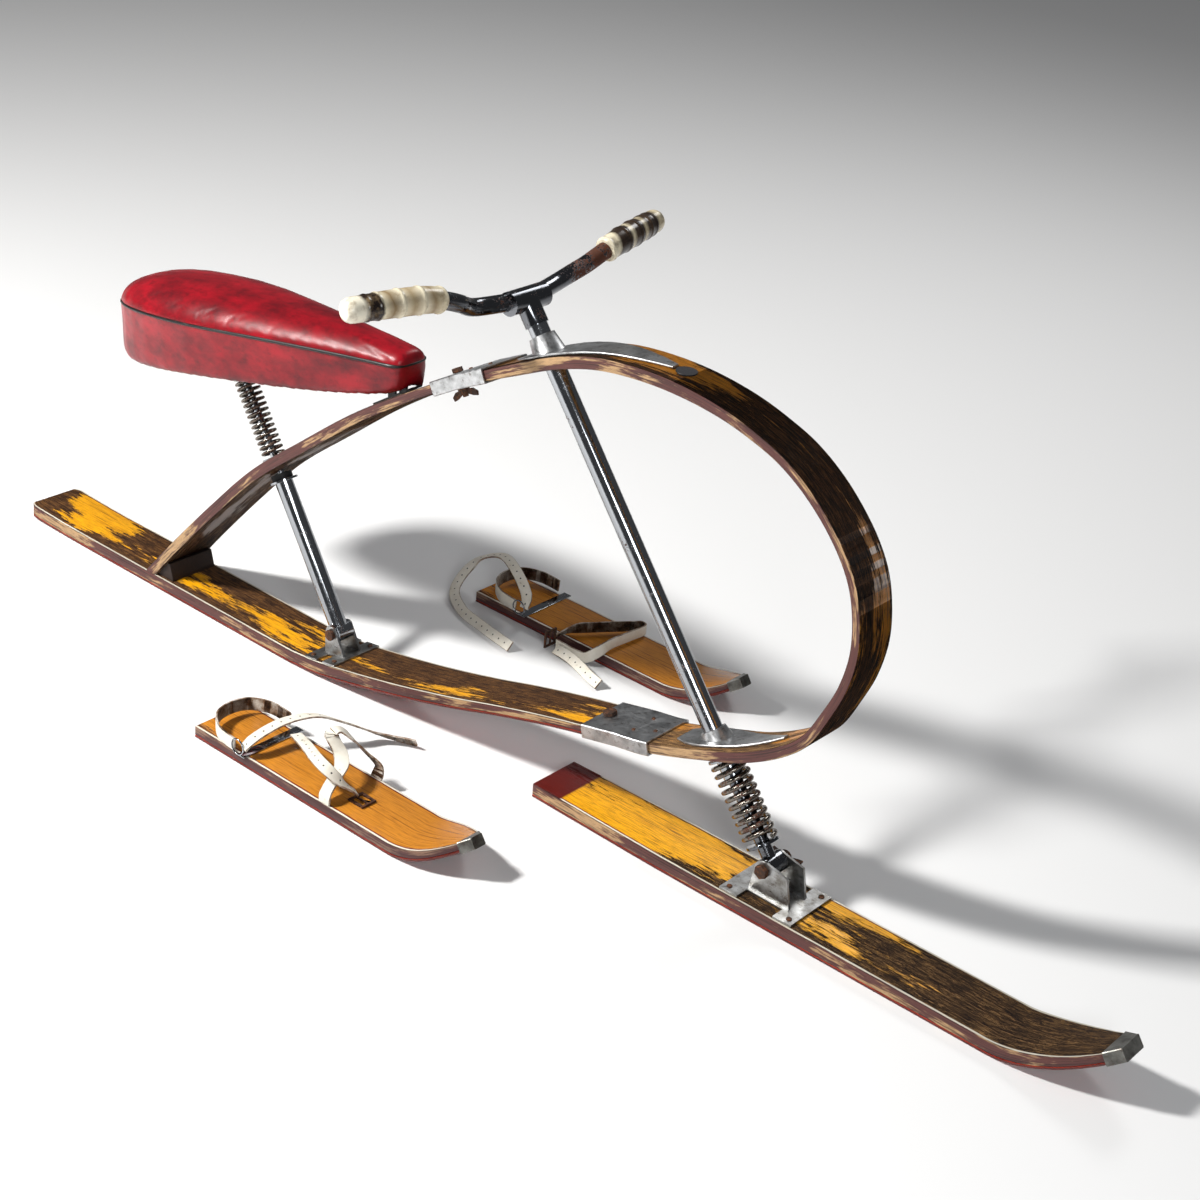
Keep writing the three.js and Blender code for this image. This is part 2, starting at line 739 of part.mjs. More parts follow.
function layer(ski, x, lift, thickness) {
  const rise = ski.height(x) - ski.height(x - slopeStep);
  const tangent = place(slopeStep, 0, rise).normalize();
  const up = place(-tangent.z, 0, tangent.x);
  const centre = place(x, 0, ski.height(x)).addScaledVector(up, lift + thickness / 2);
  return { centre, up, side: place(0, 1, 0), tangent, width: ski.width(x), thickness };
}

function woodStations(ski) {
  return ski.places.map((x) => layer(ski, x, soleThickness + restGap, ski.wood(x)));
}

function soleStations(ski) {
  return ski.places.map((x) => ({ ...layer(ski, x, 0, soleThickness), chamfer: soleChamfer }));
}

function wholeStation(ski, x) {
  return layer(ski, x, 0, soleThickness + restGap + ski.wood(x));
}

// The loop's centre line, from the lower joint round to the upper joint.
const upperJointX = lowerJointX + loopReach * loopEndShares[0];
const upperJointZ = lowerJointZ + loopRise * loopEndShares[1];
const loopPoints = [[0, 0], ...loopShares, loopEndShares].map(
  ([a, b]) => place(lowerJointX + loopReach * a, 0, lowerJointZ + loopRise * b),
);
const loopCurve = new THREE.CatmullRomCurve3(loopPoints, false, 'centripetal');
const loopLength = loopCurve.getLength();

function loopStation(share) {
  const mark = along(loopCurve, share);
  const width = spliceWidth + (loopWaist - spliceWidth) * smooth(Math.sin(Math.PI * share));
  const thickness = loopThickness * blend(loopThicknessShares, share);
  return station(mark.point.x, mark.point.z, mark.tangent, width, thickness);
}

const loopEnd = spliceGap / loopLength;

function loopStations() {
  return spread(loopEnd, 1 - loopEnd, loopSteps).map(loopStation);
}

// The stay's centre line, from the ski's top up to the upper joint.
const stayFootZ = skiThickness;
const stayReachX = upperJointX - stayFootX;
const stayRise = upperJointZ - stayFootZ;
const stayPoints = [[0, 0], ...stayShares, [1, 1]].map(
  ([a, b]) => place(stayFootX + stayReachX * a, 0, stayFootZ + stayRise * b),
);
const stayCurve = new THREE.CatmullRomCurve3(stayPoints, false, 'centripetal');
const stayLength = stayCurve.getLength();

function stayStation(share) {
  const mark = along(stayCurve, share);
  const fade = smooth(Math.max(0, (share - stayFullShare) / (1 - stayFullShare)));
  const width = skiWidth + (spliceWidth - skiWidth) * share;
  const thickness = stayThickness + (spliceThickness - stayThickness) * fade;
  return station(mark.point.x, mark.point.z, mark.tangent, width, thickness);
}

function extended(mark, distance) {
  return { ...mark, centre: mark.centre.clone().addScaledVector(mark.tangent, distance) };
}

function stayStations() {
  const run = spread(0, 1 - spliceGap / stayLength, staySteps).map(stayStation);
  return [extended(run[0], -stayThickness), ...run];
}

// Placements of the raked groups: local Z runs up the tube, local X points forward.

const forward = new THREE.Vector3(1, 0, 0);
const upward = new THREE.Vector3(0, 0, 1);

function rakedGroup(point, axis) {
  const group = new THREE.Group();
  group.position.copy(point);
  group.rotation.y = Math.atan2(axis.x, axis.z);
  group.updateMatrixWorld(true);
  root.add(group);
  return group;
}

function placed(geometry, group) {
  return geometry.clone().applyMatrix4(group.matrixWorld);
}

function unplaced(geometry, group) {
  return geometry.clone().applyMatrix4(group.matrixWorld.clone().invert());
}

function heightOn(origin, axis, point) {
  return point.clone().sub(origin).dot(axis);
}

function shareAtX(curve, x, from, to) {
  return crossing(curve, place(x, 0, 0), upward, from, to);
}

// A frame on the top of a ski, and the place of a pivot above it.
function skiTop(ski, x) {
  const mark = layer(ski, x, 0, 2 * (soleThickness + restGap + ski.wood(x)));
  return { point: mark.centre, up: mark.up };
}

function above(face, height) {
  return face.point.clone().addScaledVector(face.up, height);
}

const frontPivotX = lowerJointX + frontPivotReach;
const frontSki = tippedSki(
  frontPivotX - frontSkiTail, frontPivotX + frontSkiNose, frontTipReach, frontTipRise,
  skiWidth, woodThickness,
  frontTipShares, frontTailShare, frontTailTaper,
);
const frontFace = skiTop(frontSki, frontPivotX);
const pivotPoint = above(frontFace, frontPivotHeight);
const steerTopX = upperJointX + steerTopReach;
const steerTopShare = shareAtX(loopCurve, steerTopX, 1 / 2, 1);
const steerAxis = loopCurve.getPointAt(steerTopShare).sub(pivotPoint).normalize();
const steerLowShare = crossing(loopCurve, pivotPoint, steerAxis, 0, 1 / 2);
const steerLow = heightOn(pivotPoint, steerAxis, loopCurve.getPointAt(steerLowShare));
const steerTop = heightOn(pivotPoint, steerAxis, loopCurve.getPointAt(steerTopShare));
const steering = rakedGroup(pivotPoint, steerAxis);

const postFace = skiTop(rearSki, postFaceX);
const postFoot = above(postFace, postPivotHeight);
const postStayShare = shareAtX(stayCurve, postStayX, 0, 1);
const postAxis = stayCurve.getPointAt(postStayShare).sub(postFoot).normalize();
const postStay = heightOn(postFoot, postAxis, stayCurve.getPointAt(postStayShare));
const post = rakedGroup(postFoot, postAxis);

// How far along an axis a leaning ribbon reaches from its centre line, out to a radius.
function reachThrough(curve, share, axis, thickness, radius) {
  const lean = Math.abs(upOf(along(curve, share)).dot(axis));
  return thickness / 2 / lean + (radius * Math.sqrt(1 - lean * lean)) / lean;
}

// A frame on a face: its origin, and the direction that leads out of it.
function onFace(face, geometry) {
  const turn = new THREE.Quaternion().setFromUnitVectors(upward, face.up);
  const plain = new THREE.Vector3(1, 1, 1);
  return geometry.clone().applyMatrix4(new THREE.Matrix4().compose(face.point, turn, plain));
}

// Sleeves, each round the ends of two ribbons. Their stations run forward.

function lowerSleeveStations() {
  const half = lowerSleeveLength / 2;
  const rear = spread(lowerJointX - half, lowerJointX, sleeveSteps).map((x) => wholeStation(rearSki, x));
  const share = half / loopLength;
  const front = spread(share / sleeveSteps, share, sleeveSteps - 1).map(loopStation);
  return evened([...rear, ...front]);
}

function upperSleeveStations() {
  const half = upperSleeveLength / 2;
  const rear = spread(1 - half / stayLength, 1, sleeveSteps).map(stayStation);
  const share = half / loopLength;
  const front = spread(1 - share / sleeveSteps, 1 - share, sleeveSteps - 1).map(loopStation);
  return evened([...rear, ...front.map(reversed)]);
}

function reversed(mark) {
  return { ...mark, up: mark.up.clone().negate(), tangent: mark.tangent.clone().negate() };
}

function evened(stations) {
  const width = Math.max(...stations.map((s) => s.width));
  const thickness = Math.max(...stations.map((s) => s.thickness));
  return stations.map((s) => ({ ...s, width, thickness }));
}

function sleeveShell(stations) {
  const outer = ribbon(grown(stations, sleeveClear + sleeveWall));
  const first = extended(stations[0], -overrun);
  const last = extended(stations[stations.length - 1], overrun);
  return cut(outer, ribbon(grown([first, ...stations, last], sleeveClear)));
}

function sleeveFace(stations, step, sideShare = 0) {
  const mark = stations[step];
  const lift = mark.thickness / 2 + sleeveClear + sleeveWall;
  const point = mark.centre.clone().addScaledVector(mark.up, lift);
  point.y = (sideShare * mark.width) / 2;
  return { point, up: mark.up, depth: 2 * lift };
}

function rivet() {
  return upright(rivetRadius, -sleeveWall / 2, rivetHeight, smallSides, rivetRadius * rivetTopShare);
}

function boltBore(stations) {
  const face = sleeveFace(stations, sleeveBoltStep);
  return onFace(face, upright(sleeveBoltRadius + headClear, -face.depth - overrun, overrun, smallSides));
}

function buildSleeve(name, stations, headSides, rivetSteps) {
  const face = sleeveFace(stations, sleeveBoltStep);
  const bumps = rivetSteps.map(([step, sideShare]) => onFace(sleeveFace(stations, step, sideShare), rivet()));
  add(root, name, cut(join(sleeveShell(stations), ...bumps), boltBore(stations)), 'aluminium');
  const nutSeat = -face.depth - headClear;
  const head = upright(boltHeadRadius, headClear, boltHeadHeight, headSides);
  const shank = upright(sleeveBoltRadius, nutSeat - wingHubHeight - boltEnd, 2 * headClear, smallSides);
  add(root, `${name}_bolt`, onFace(face, join(head, shank)), 'rust');
  const nut = wingNut(sleeveBoltRadius).applyMatrix4(sleeveAxisTurn()).applyMatrix4(at(0, 0, nutSeat));
  add(root, `${name}_wing_nut`, onFace(face, nut), 'rust');
}

function buildSleeves() {
  buildSleeve('lower_sleeve', lowerSleeveStations(), hexSides, lowerRivetSteps);
  buildSleeve('upper_sleeve', upperSleeveStations(), squareSides, upperRivetSteps);
}

// Wood of the frame.

function buildRearSki() {
  const bore = boltBore(lowerSleeveStations());
  add(root, 'rear_ski', cut(ribbon(woodStations(rearSki)), bore), 'wood');
  add(root, 'rear_ski_sole', cut(ribbon(soleStations(rearSki)), bore), 'sole');
}

function buildLoop() {
  const hole = placed(upright(steerTubeRadius + steerClear, 0, steerTop + loopRise), steering);
  add(root, 'loop_frame', cut(ribbon(loopStations()), hole), 'wood');
}

function buildStay() {
  const below = skiThickness + restGap;
  const floor = block(stayReachX, stayReachX, stayReachX, place(stayFootX, 0, below - stayReachX / 2));
  const rodHole = placed(upright(postRodRadius + steerClear, 0, 2 * postStay, smallSides), post);
  const boltHole = boltBore(upperSleeveStations());
  add(root, 'rear_stay', cut(ribbon(stayStations()), floor, rodHole, boltHole), 'wood');
}

// The dark block screwed down in the corner in front of the stay's foot.
function buildFootBlock() {
  const tangent = stayStation(0).tangent;
  const lean = tangent.x / tangent.z;
  const toe = stayFootX + (stayThickness / 2 + restGap) / tangent.z + lean * restGap;
  const low = skiThickness + restGap;
  const top = toe + footBlockHeight * lean;
  const outline = [
    [toe, low], [toe + footBlockLength, low], [toe + footBlockLength, low + footBlockNose],
    [top + footBlockNose, low + footBlockHeight], [top, low + footBlockHeight],
  ];
  const wood = ribbon(grown(stayStations(), restGap));
  const body = sidePlate(outline, -footBlockWidth / 2, footBlockWidth / 2);
  add(root, 'stay_foot_block', cut(body, wood), 'darkWood');
}

// Lugs: a tear-shaped plate on the loop with a collar round the steering tube.

function lugPlate(fromShare, toShare, outside, widths) {
  const sign = outside ? -1 : 1;
  return ribbon(spread(fromShare, toShare, lugSteps).map((share, i) => {
    const mark = loopStation(share);
    const lift = (mark.thickness + lugThickness) / 2 + restGap;
    const centre = mark.centre.clone().addScaledVector(mark.up, sign * lift);
    return { ...mark, centre, thickness: lugThickness, width: lugWidth * blend(widths, i / lugSteps) };
  }));
}

function collar(share, middle, outside, height) {
  const mark = loopStation(share);
  const reach = reachThrough(loopCurve, share, steerAxis, mark.thickness, 0) + lugThickness;
  const top = middle + reach + height;
  const cone = upright(collarFootRadius, middle - reach, top, roundSides, collarTopRadius);
  const face = { point: mark.centre, up: outside ? mark.up.clone().negate() : mark.up };
  const below = block(lugWidth * 2, lugWidth * 2, lugWidth * 2, place(0, 0, -lugWidth));
  return cut(placed(cone, steering), onFace(face, below));
}

function buildLug(name, plate, cone) {
  const wood = ribbon(grown(loopStations(), restGap));
  const tube = placed(upright(steerTubeRadius + lugClear, 0, steerTop + loopRise), steering);
  add(root, name, cut(join(plate, cone), wood, tube), 'aluminium');
}

function buildLugs() {
  const upperRear = shareAtX(loopCurve, steerTopX - upperLugRear, 1 / 2, 1);
  const upperFront = shareAtX(loopCurve, steerTopX + upperLugFront, 1 / 2, 1);
  const upper = lugPlate(upperRear, upperFront, true, upperLugShares);
  buildLug('upper_lug', upper, collar(steerTopShare, steerTop, true, upperCollarHeight));
  const lowerRear = shareAtX(loopCurve, lowerJointX + lowerLugRear, 0, 1 / 4);
  const lowerFront = shareAtX(loopCurve, lowerJointX + lowerLugFront, 0, 1 / 4);
  const lower = lugPlate(lowerRear, lowerFront, false, lowerLugShares);
  buildLug('lower_lug', lower, collar(steerLowShare, steerLow, false, lowerCollarHeight));
}

function buildBadge() {
  const mark = loopStation(shareAtX(loopCurve, steerTopX + badgeReach, 1 / 2, 1));
  const up = mark.up.clone().negate();
  const point = mark.centre.clone().addScaledVector(up, mark.thickness / 2 + restGap);
  add(root, 'badge', onFace({ point, up }, upright(badgeRadius, 0, badgeHeight)), 'black');
}

// Brackets.

// A bracket stands on Z 0 with its pivot above the origin.
function bracket(ear, height, gap, bore, length, width, offset, lobe) {
  const slab = (size, across, x) => {
    const middle = (bracketPlate - bracketSink) / 2;
    return block(size, across, bracketPlate + bracketSink, place(offset + x, 0, middle));
  };
  const strip = slab(length, gap + 2 * earThickness + 2 * bracketPlate, 0);
  const straps = [-1, 1].map((end) => slab(lobe, width, (end * (length - lobe)) / 2));
  const sink = bracketPlate / 2;
  const nose = ear.nose.map(([x, z]) => [x, height + z]);
  const arc = arcPoints(0, height, ear.radius, Math.PI, Math.PI / 3, earArcSteps);
  const outline = [[ear.front, sink], [-ear.rear, sink], ...arc, ...nose];
  const ears = [-gap / 2 - earThickness, gap / 2].map((y) => sidePlate(outline, y, y + earThickness));
  const screws = [[-1, -1], [-1, 1], [1, -1], [1, 1]].map(([a, b]) => {
    const screw = upright(rivetRadius, sink, bracketPlate + rivetHeight, smallSides);
    return screw.applyMatrix4(at(offset + a * (length / 2 - screwInset), b * (width / 2 - screwInset), 0));
  });
  return cut(join(strip, ...straps, ...ears, ...screws), crossBar(0, height, -width, width, bore));
}

// A pin or bolt along Y with its head on the right.
function crossPin(reach, radius, headRadius, headHeight, headSides, end) {
  const seat = -reach - headClear;
  const shank = crossBar(0, 0, seat - headHeight / 2, reach + end, radius, smallSides);
  return join(shank, crossBar(0, 0, seat - headHeight, seat, headRadius, headSides));
}

function buildRearBracket() {
  const gap = postEyeWidth + 2 * earClear;
  const body = bracket(
    rearEar, postPivotHeight, gap, postPinRadius + headClear,
    rearPlateLength, rearPlateWidth, rearPlateOffset,
    rearLobe,
  );
  const wood = ribbon(grown(woodStations(rearSki), restGap));
  add(root, 'rear_bracket', cut(onFace(postFace, body), wood), 'aluminium');
  const reach = gap / 2 + earThickness;
  const pin = crossPin(reach, postPinRadius, pinHeadRadius, pinHeadHeight, smallSides, pinProud);
  add(root, 'rear_bracket_pin', pin.applyMatrix4(at(postFoot.x, 0, postFoot.z)), 'rust');
}

// Seat post and rear spring.

function buildSeatPost() {
  const under = reachThrough(stayCurve, postStayShare, postAxis, stayThickness, postBushRadius);
  const bushTop = postStay - under - 2 * restGap;
  const bushFoot = bushTop - postBushHeight;
  const tubeTop = bushFoot - restGap;
  buildSeatTube(tubeTop);
  const bore = postRodRadius + steerClear;
  add(post, 'seat_tube_bush', ring(bore, postBushRadius, bushFoot, bushTop), 'black');
  const over = reachThrough(stayCurve, postStayShare, postAxis, stayThickness, springWasherRadius);
  const washerFoot = postStay + over + 2 * restGap;
  const washerTop = washerFoot + springWasherThickness;
  add(post, 'rear_spring_washer', ring(bore, springWasherRadius, washerFoot, washerTop), 'chrome');
  const clipFoot = boardOnPost() - seatClipHeight;
  const springFoot = washerTop + restGap;
  const length = clipFoot - restGap - springFoot;
  const coil = spring('rear spring', rearSpringRadius, rearSpringWire, rearSpringTurns, length);
  add(post, 'rear_spring', coil.applyMatrix4(at(0, 0, springFoot)), 'chrome');
  const rodTop = clipFoot + seatClipWall + postRodProud;
  add(post, 'seat_rod', upright(postRodRadius, rodTop - postRodLength, rodTop, smallSides), 'chrome');
  return clipFoot;
}

function buildSeatTube(top) {
  const flange = upright(postFlangeRadius, top - postFlangeThickness, top);
  const tube = upright(postTubeRadius, postEyeRadius / 2, top);
  const eye = crossBar(0, 0, -postEyeWidth / 2, postEyeWidth / 2, postEyeRadius);
  const hollow = upright(postTubeRadius - postTubeWall, postHollowFoot, top + overrun);
  const pinHole = crossBar(0, 0, -postEyeWidth, postEyeWidth, postPinRadius + headClear, smallSides);
  add(post, 'seat_tube', cut(join(tube, flange, eye), hollow, pinHole), 'chrome');
}

// Saddle. Shares run from its rear end to its nose.

const hingePinX = upperJointX - hingePinSet;
const hingePinZ = stayTopAt(hingePinX).point.z + hingePinLift;
const seatRearX = hingePinX + seatNose - seatLength;
const seatBottomFront = hingePinZ + seatNoseLift;
const seatPipingFront = seatBottomFront + seatNoseDepth;
const seatPipingRear = seatPipingFront - seatRearDrop;
const seatBottomRear = seatPipingRear - seatRearDepth;

function seatX(share) {
  return seatRearX + seatLength * share;
}

function arch(share) {
  return 4 * share * (1 - share);
}

function pipingZ(share) {
  return seatPipingRear + (seatPipingFront - seatPipingRear) * share + seatPipingArch * arch(share);
}

function bottomZ(share) {
  return seatBottomRear + (seatBottomFront - seatBottomRear) * share - seatBottomSag * arch(share);
}

function boardZ(x) {
  const share = (x - seatRearX) / seatLength;
  return bottomZ(share) + baseLiftRear + (baseLiftFront - baseLiftRear) * share;
}

// One ring of the saddle: the crown, then the drawn-in sides down to the lower edge.
function seatSection(halfWidth, piping, bottom, crown) {
  const top = spread(0, Math.PI, seatTopSteps).map((angle) => {
    const across = Math.cos(angle);
    const reach = Math.sign(across) * Math.abs(across) ** crownSquareness;
    return [halfWidth * reach, piping + crown * Math.sin(angle)];
  });
  const side = (sign) => seatSideShares.map(([drop, draw]) => {
    return [sign * halfWidth * draw, piping + (bottom - piping) * drop];
  });
  return [...top, ...side(-1), ...side(1).reverse()];
}

function seatRings() {
  return seatPlaceShares.map((share, i) => {
    const piping = pipingZ(share);
    const bottom = piping + (bottomZ(share) - piping) * seatDepthShares[i];
    const half = seatHalfWidth * seatWidthShares[i];
    const section = seatSection(half, piping, bottom, seatCrown * seatCrownShares[i]);
    return section.map(([y, z]) => place(seatX(share), y, z));
  });
}

function seatWidthAt(x) {
  const places = seatPlaceShares.map(seatX);
  const next = Math.max(1, places.findIndex((edge) => edge >= x));
  const share = (x - places[next - 1]) / (places[next] - places[next - 1]);
  const [a, b] = [seatWidthShares[next - 1], seatWidthShares[next]];
  return seatHalfWidth * (a + (b - a) * share);
}

function seatPlan(inset) {
  const low = seatRearX + Math.max(inset, seatEndSet);
  const high = seatRearX + seatLength - Math.max(inset, restGap);
  const inside = seatPlaceShares.map(seatX).filter((x) => x > low && x < high);
  return [low, ...inside, high].map((x) => [x, seatWidthAt(x) * seatFootShare - inset]);
}

// The height on the seat post's axis at which it meets the board's underside.
function boardOnPost() {
  let [low, high] = [postStay, postStay + seatLength];
  for (let i = 0; i < 30; i += 1) {
    const middle = (low + high) / 2;
    const point = postFoot.clone().addScaledVector(postAxis, middle);
    if (point.z < boardZ(point.x)) {
      low = middle;
    } else {
      high = middle;
    }
  }
  return low;
}

// A slab along the board's underside, between two heights above that underside.
function boardSlab(plan, from, to) {
  return loft(plan.map(([x, half]) => {
    const z = boardZ(x);
    return [
      place(x, -half, z + from), place(x, half, z + from),
      place(x, half, z + to), place(x, -half, z + to),
    ];
  }));
}

function overBoard() {
  return boardSlab(seatPlan(-baseInset), -restGap, seatPipingRear);
}

function buildSaddle() {
  const pocket = boardSlab(seatPlan(baseInset - restGap), -seatLength, baseBoard + restGap);
  add(root, 'seat_cushion', cut(loft(seatRings()), pocket), 'leather');
  add(root, 'seat_base', boardSlab(seatPlan(baseInset), 0, baseBoard), 'darkWood');
  buildPiping();
}

// The bead that runs round the saddle at its widest line.
function buildPiping() {
  const reach = pipingRadius + restGap;
  const side = seatPlaceShares.map((share, i) => {
    return place(seatX(share), seatHalfWidth * seatWidthShares[i] + reach, pipingZ(share));
  });
  const front = place(seatX(1) + reach, 0, pipingZ(1));
  const rear = place(seatX(0) - reach, 0, pipingZ(0));
  const left = side.map((point) => place(point.x, point.y, point.z));
  const right = [...side].reverse().map((point) => place(point.x, -point.y, point.z));
  const points = [rear, ...left, front, ...right];
  const marks = points.map((point, i) => {
    const before = points[(i + points.length - 1) % points.length];
    const after = points[(i + 1) % points.length];
    return { point, tangent: after.clone().sub(before).normalize(), radius: pipingRadius };
  });
  const rings = marks.map(({ point, tangent, radius }) => {
    const across = new THREE.Vector3().crossVectors(upward, tangent).normalize();
    const over = new THREE.Vector3().crossVectors(tangent, across);
    return roundRing(point, across, over, radius, pipingSides);
  });
  const body = ribbonless(rings);
  add(root, 'seat_piping', cut(body, loft(seatRings())), 'black');
}

function ribbonless(rings) {
  return loft(rings, true);
}

// The folded clip under the board that the spring pushes on, with a slot for the rod.
function buildSeatClip(clipFoot) {
  const width = 2 * seatClipHalfWidth;
  const reach = seatClipHeight + width;
  const middle = clipFoot + reach / 2;
  const body = block(width, width, reach, place(0, 0, middle));
  const inner = width - 2 * seatClipWall;
  const inside = block(2 * width, inner, reach, place(0, 0, middle + seatClipWall));
  const half = postRodRadius + seatClipSlot;
  const slotLength = 2 * half + seatClipSlotReach;
  const slot = block(slotLength, 2 * half, overrun, place(seatClipSlotReach / 2, 0, clipFoot));
  add(post, 'seat_clip', cut(body, inside, slot, unplaced(overBoard(), post)), 'black');
}

function stayTopAt(x) {
  let [low, high] = [0, 1];
  for (let i = 0; i < 30; i += 1) {
    const middle = (low + high) / 2;
    const mark = stayStation(middle);
    if (mark.centre.x + (mark.up.x * mark.thickness) / 2 < x) {
      low = middle;
    } else {
      high = middle;
    }
  }
  const mark = stayStation(low);
  const point = mark.centre.clone().addScaledVector(mark.up, mark.thickness / 2 + restGap);
  return { point, up: mark.up };
}

function buildSeatHinge() {
  const face = stayTopAt(hingePinX);
  const pinZ = hingePinZ;
  const inner = hingeLeafWidth / 2 + earClear;
  const outer = inner + hingeEarThickness;
  const foot = block(hingeFootLength, 2 * outer, hingeFootThickness, place(0, 0, hingeFootThickness / 2));
  const [rearX, frontX] = [hingePinX - hingeEarReach, hingePinX + hingeEarReach];
  const arc = arcPoints(hingePinX, pinZ, hingeEarReach, Math.PI, 0, earArcSteps);
  const ears = [-outer, inner].map((y) => {
    return sidePlate([[frontX, face.point.z], [rearX, face.point.z], ...arc], y, y + hingeEarThickness);
  });
  const wood = ribbon(grown(stayStations(), restGap));
  const bore = crossBar(hingePinX, pinZ, -skiWidth, skiWidth, hingePinRadius + headClear, smallSides);
  add(root, 'seat_hinge_bracket', cut(join(onFace(face, foot), ...ears), wood, bore), 'black');
  const reach = outer + hingePinProud;
  add(root, 'seat_hinge_pin', crossBar(hingePinX, pinZ, -reach, reach, hingePinRadius, smallSides), 'rust');
  buildHingeLeaf(pinZ, bore);
}

function buildHingeLeaf(pinZ, bore) {
  const [rearX, frontX] = [hingePinX - hingeLeafReach, hingePinX + hingeLeafReach];
  const arc = arcPoints(hingePinX, pinZ, hingeLeafReach, Math.PI, 2 * Math.PI, earArcSteps);
  const top = boardZ(hingePinX) + overrun;
  const body = sidePlate([...arc, [frontX, top], [rearX, top]], -hingeLeafWidth / 2, hingeLeafWidth / 2);
  add(root, 'seat_hinge_leaf', cut(body, overBoard(), bore), 'black');
}

// Steering tube, stem and handlebar.

function buildSteering() {
  const thickness = loopStation(steerLowShare).thickness;
  const under = reachThrough(loopCurve, steerLowShare, steerAxis, thickness, steerWasherRadius);
  const washerTop = steerLow - under - restGap;
  const washerFoot = washerTop - steerWasherHeight;
  const washer = ring(steerTubeRadius + headClear, steerWasherRadius, washerFoot, washerTop);
  add(steering, 'steering_washer', washer, 'chrome');
  const tubeFoot = washerFoot - steerFootReach;
  const tubeTop = barHeight - stemSocket;
  const tube = ring(steerTubeRadius - steerTubeWall, steerTubeRadius, tubeFoot, tubeTop);
  add(steering, 'steering_tube', tube, 'chrome');
  const stem = upright(stemRadius, barHeight - stemReach, barHeight);
  const clamp = crossBar(0, barHeight, -barClampLength / 2, barClampLength / 2, barClampRadius);
  const socket = upright(steerTubeRadius + restGap, 0, tubeTop + restGap);
  add(steering, 'handlebar_stem', cut(join(stem, clamp), socket, barBody(restGap)), 'chrome');
  add(steering, 'handlebar', barBody(0), 'chrome');
  buildFork(tubeFoot, washerFoot);
}

// The bar rises and sweeps back in world directions, seen from the steering group.
function barCurveOf() {
  const inverse = steering.matrixWorld.clone().invert();
  const rise = upward.clone().transformDirection(inverse);
  const back = forward.clone().negate().transformDirection(inverse);
  const pointOf = (side) => ([sideShare, riseShare, sweepShare]) => {
    return place(0, side * sideShare * barHalfWidth, barHeight)
      .addScaledVector(rise, riseShare * barRise).addScaledVector(back, sweepShare * barSweep);
  };
  const left = barShares.map(pointOf(1));
  const right = barShares.slice(1).map(pointOf(-1)).reverse();
  return new THREE.CatmullRomCurve3([...right, ...left], false, 'centripetal');
}

const barCurve = barCurveOf();

function barMark(at, radius) {
  const share = Math.min(Math.max(at, 0), 1);
  return { point: barCurve.getPointAt(share), tangent: barCurve.getTangentAt(share), radius };
}

function barBody(extra) {
  return rodAlong(spread(0, 1, barSteps).map((share) => barMark(share, barRadius + extra)), barSides);
}

function buildGrip(name, sign) {
  const from = 1 / 2 + (sign * gripStart) / 2;
  const to = sign > 0 ? 1 : 0;
  const marks = spread(from, to, gripSteps).map((share, i) => {
    return barMark(share, gripRadius * blend(gripSwellShares, i / gripSteps));
  });
  const last = marks[marks.length - 1];
  const outwards = last.tangent.clone().multiplyScalar(sign);
  const cap = { ...last, point: last.point.clone().addScaledVector(outwards, gripEndCap), radius: barRadius };
  const end = { ...last, point: last.point.clone().addScaledVector(outwards, gripClear) };
  const fine = spread(0, 1, barSteps).map((share) => barMark(share, barRadius + gripClear));
  const bore = sign > 0 ? [...fine, { ...end, radius: barRadius + gripClear }]
    : [{ ...end, radius: barRadius + gripClear }, ...fine];
  add(steering, name, cut(rodAlong([...marks, cap], gripSides), rodAlong(bore, barSides)), 'grip');
}

// Fork and front spring.

function buildFork(tubeFoot, springTop) {
  const seatTop = forkSeatHeight + forkSeatThickness;
  const springFoot = seatTop + restGap;
  const rod = upright(forkRodRadius, 0, tubeFoot + forkRodReach);
  const eye = crossBar(0, 0, -forkEyeWidth / 2, forkEyeWidth / 2, forkEyeRadius);
  const seat = upright(frontSpringRadius, forkSeatHeight, seatTop);
  const hole = crossBar(0, 0, -forkEyeWidth, forkEyeWidth, boltRadius + headClear);
  add(steering, 'fork_rod', cut(join(rod, eye, seat), hole), 'chrome');
  const length = springTop - restGap - springFoot;
  const coil = spring('front spring', frontSpringRadius, frontSpringWire, frontSpringTurns, length);
  add(steering, 'front_spring', coil.applyMatrix4(at(0, 0, springFoot)), 'chrome');
}

// Front ski.

// A thin metal cap round the tip of a ski, open to the rear.
function tipCap(ski) {
  const stations = ski.places.slice(-tipCapSteps).map((x) => wholeStation(ski, x));
  const last = stations[stations.length - 1];
  const outer = grown([...stations, extended(last, restGap + tipCapWall)], restGap + tipCapWall);
  const hollow = grown([extended(stations[0], -overrun), ...stations, extended(last, restGap)], restGap);
  return cut(ribbon(outer), ribbon(hollow.map((mark) => ({ ...mark, chamfer: soleChamfer }))));
}

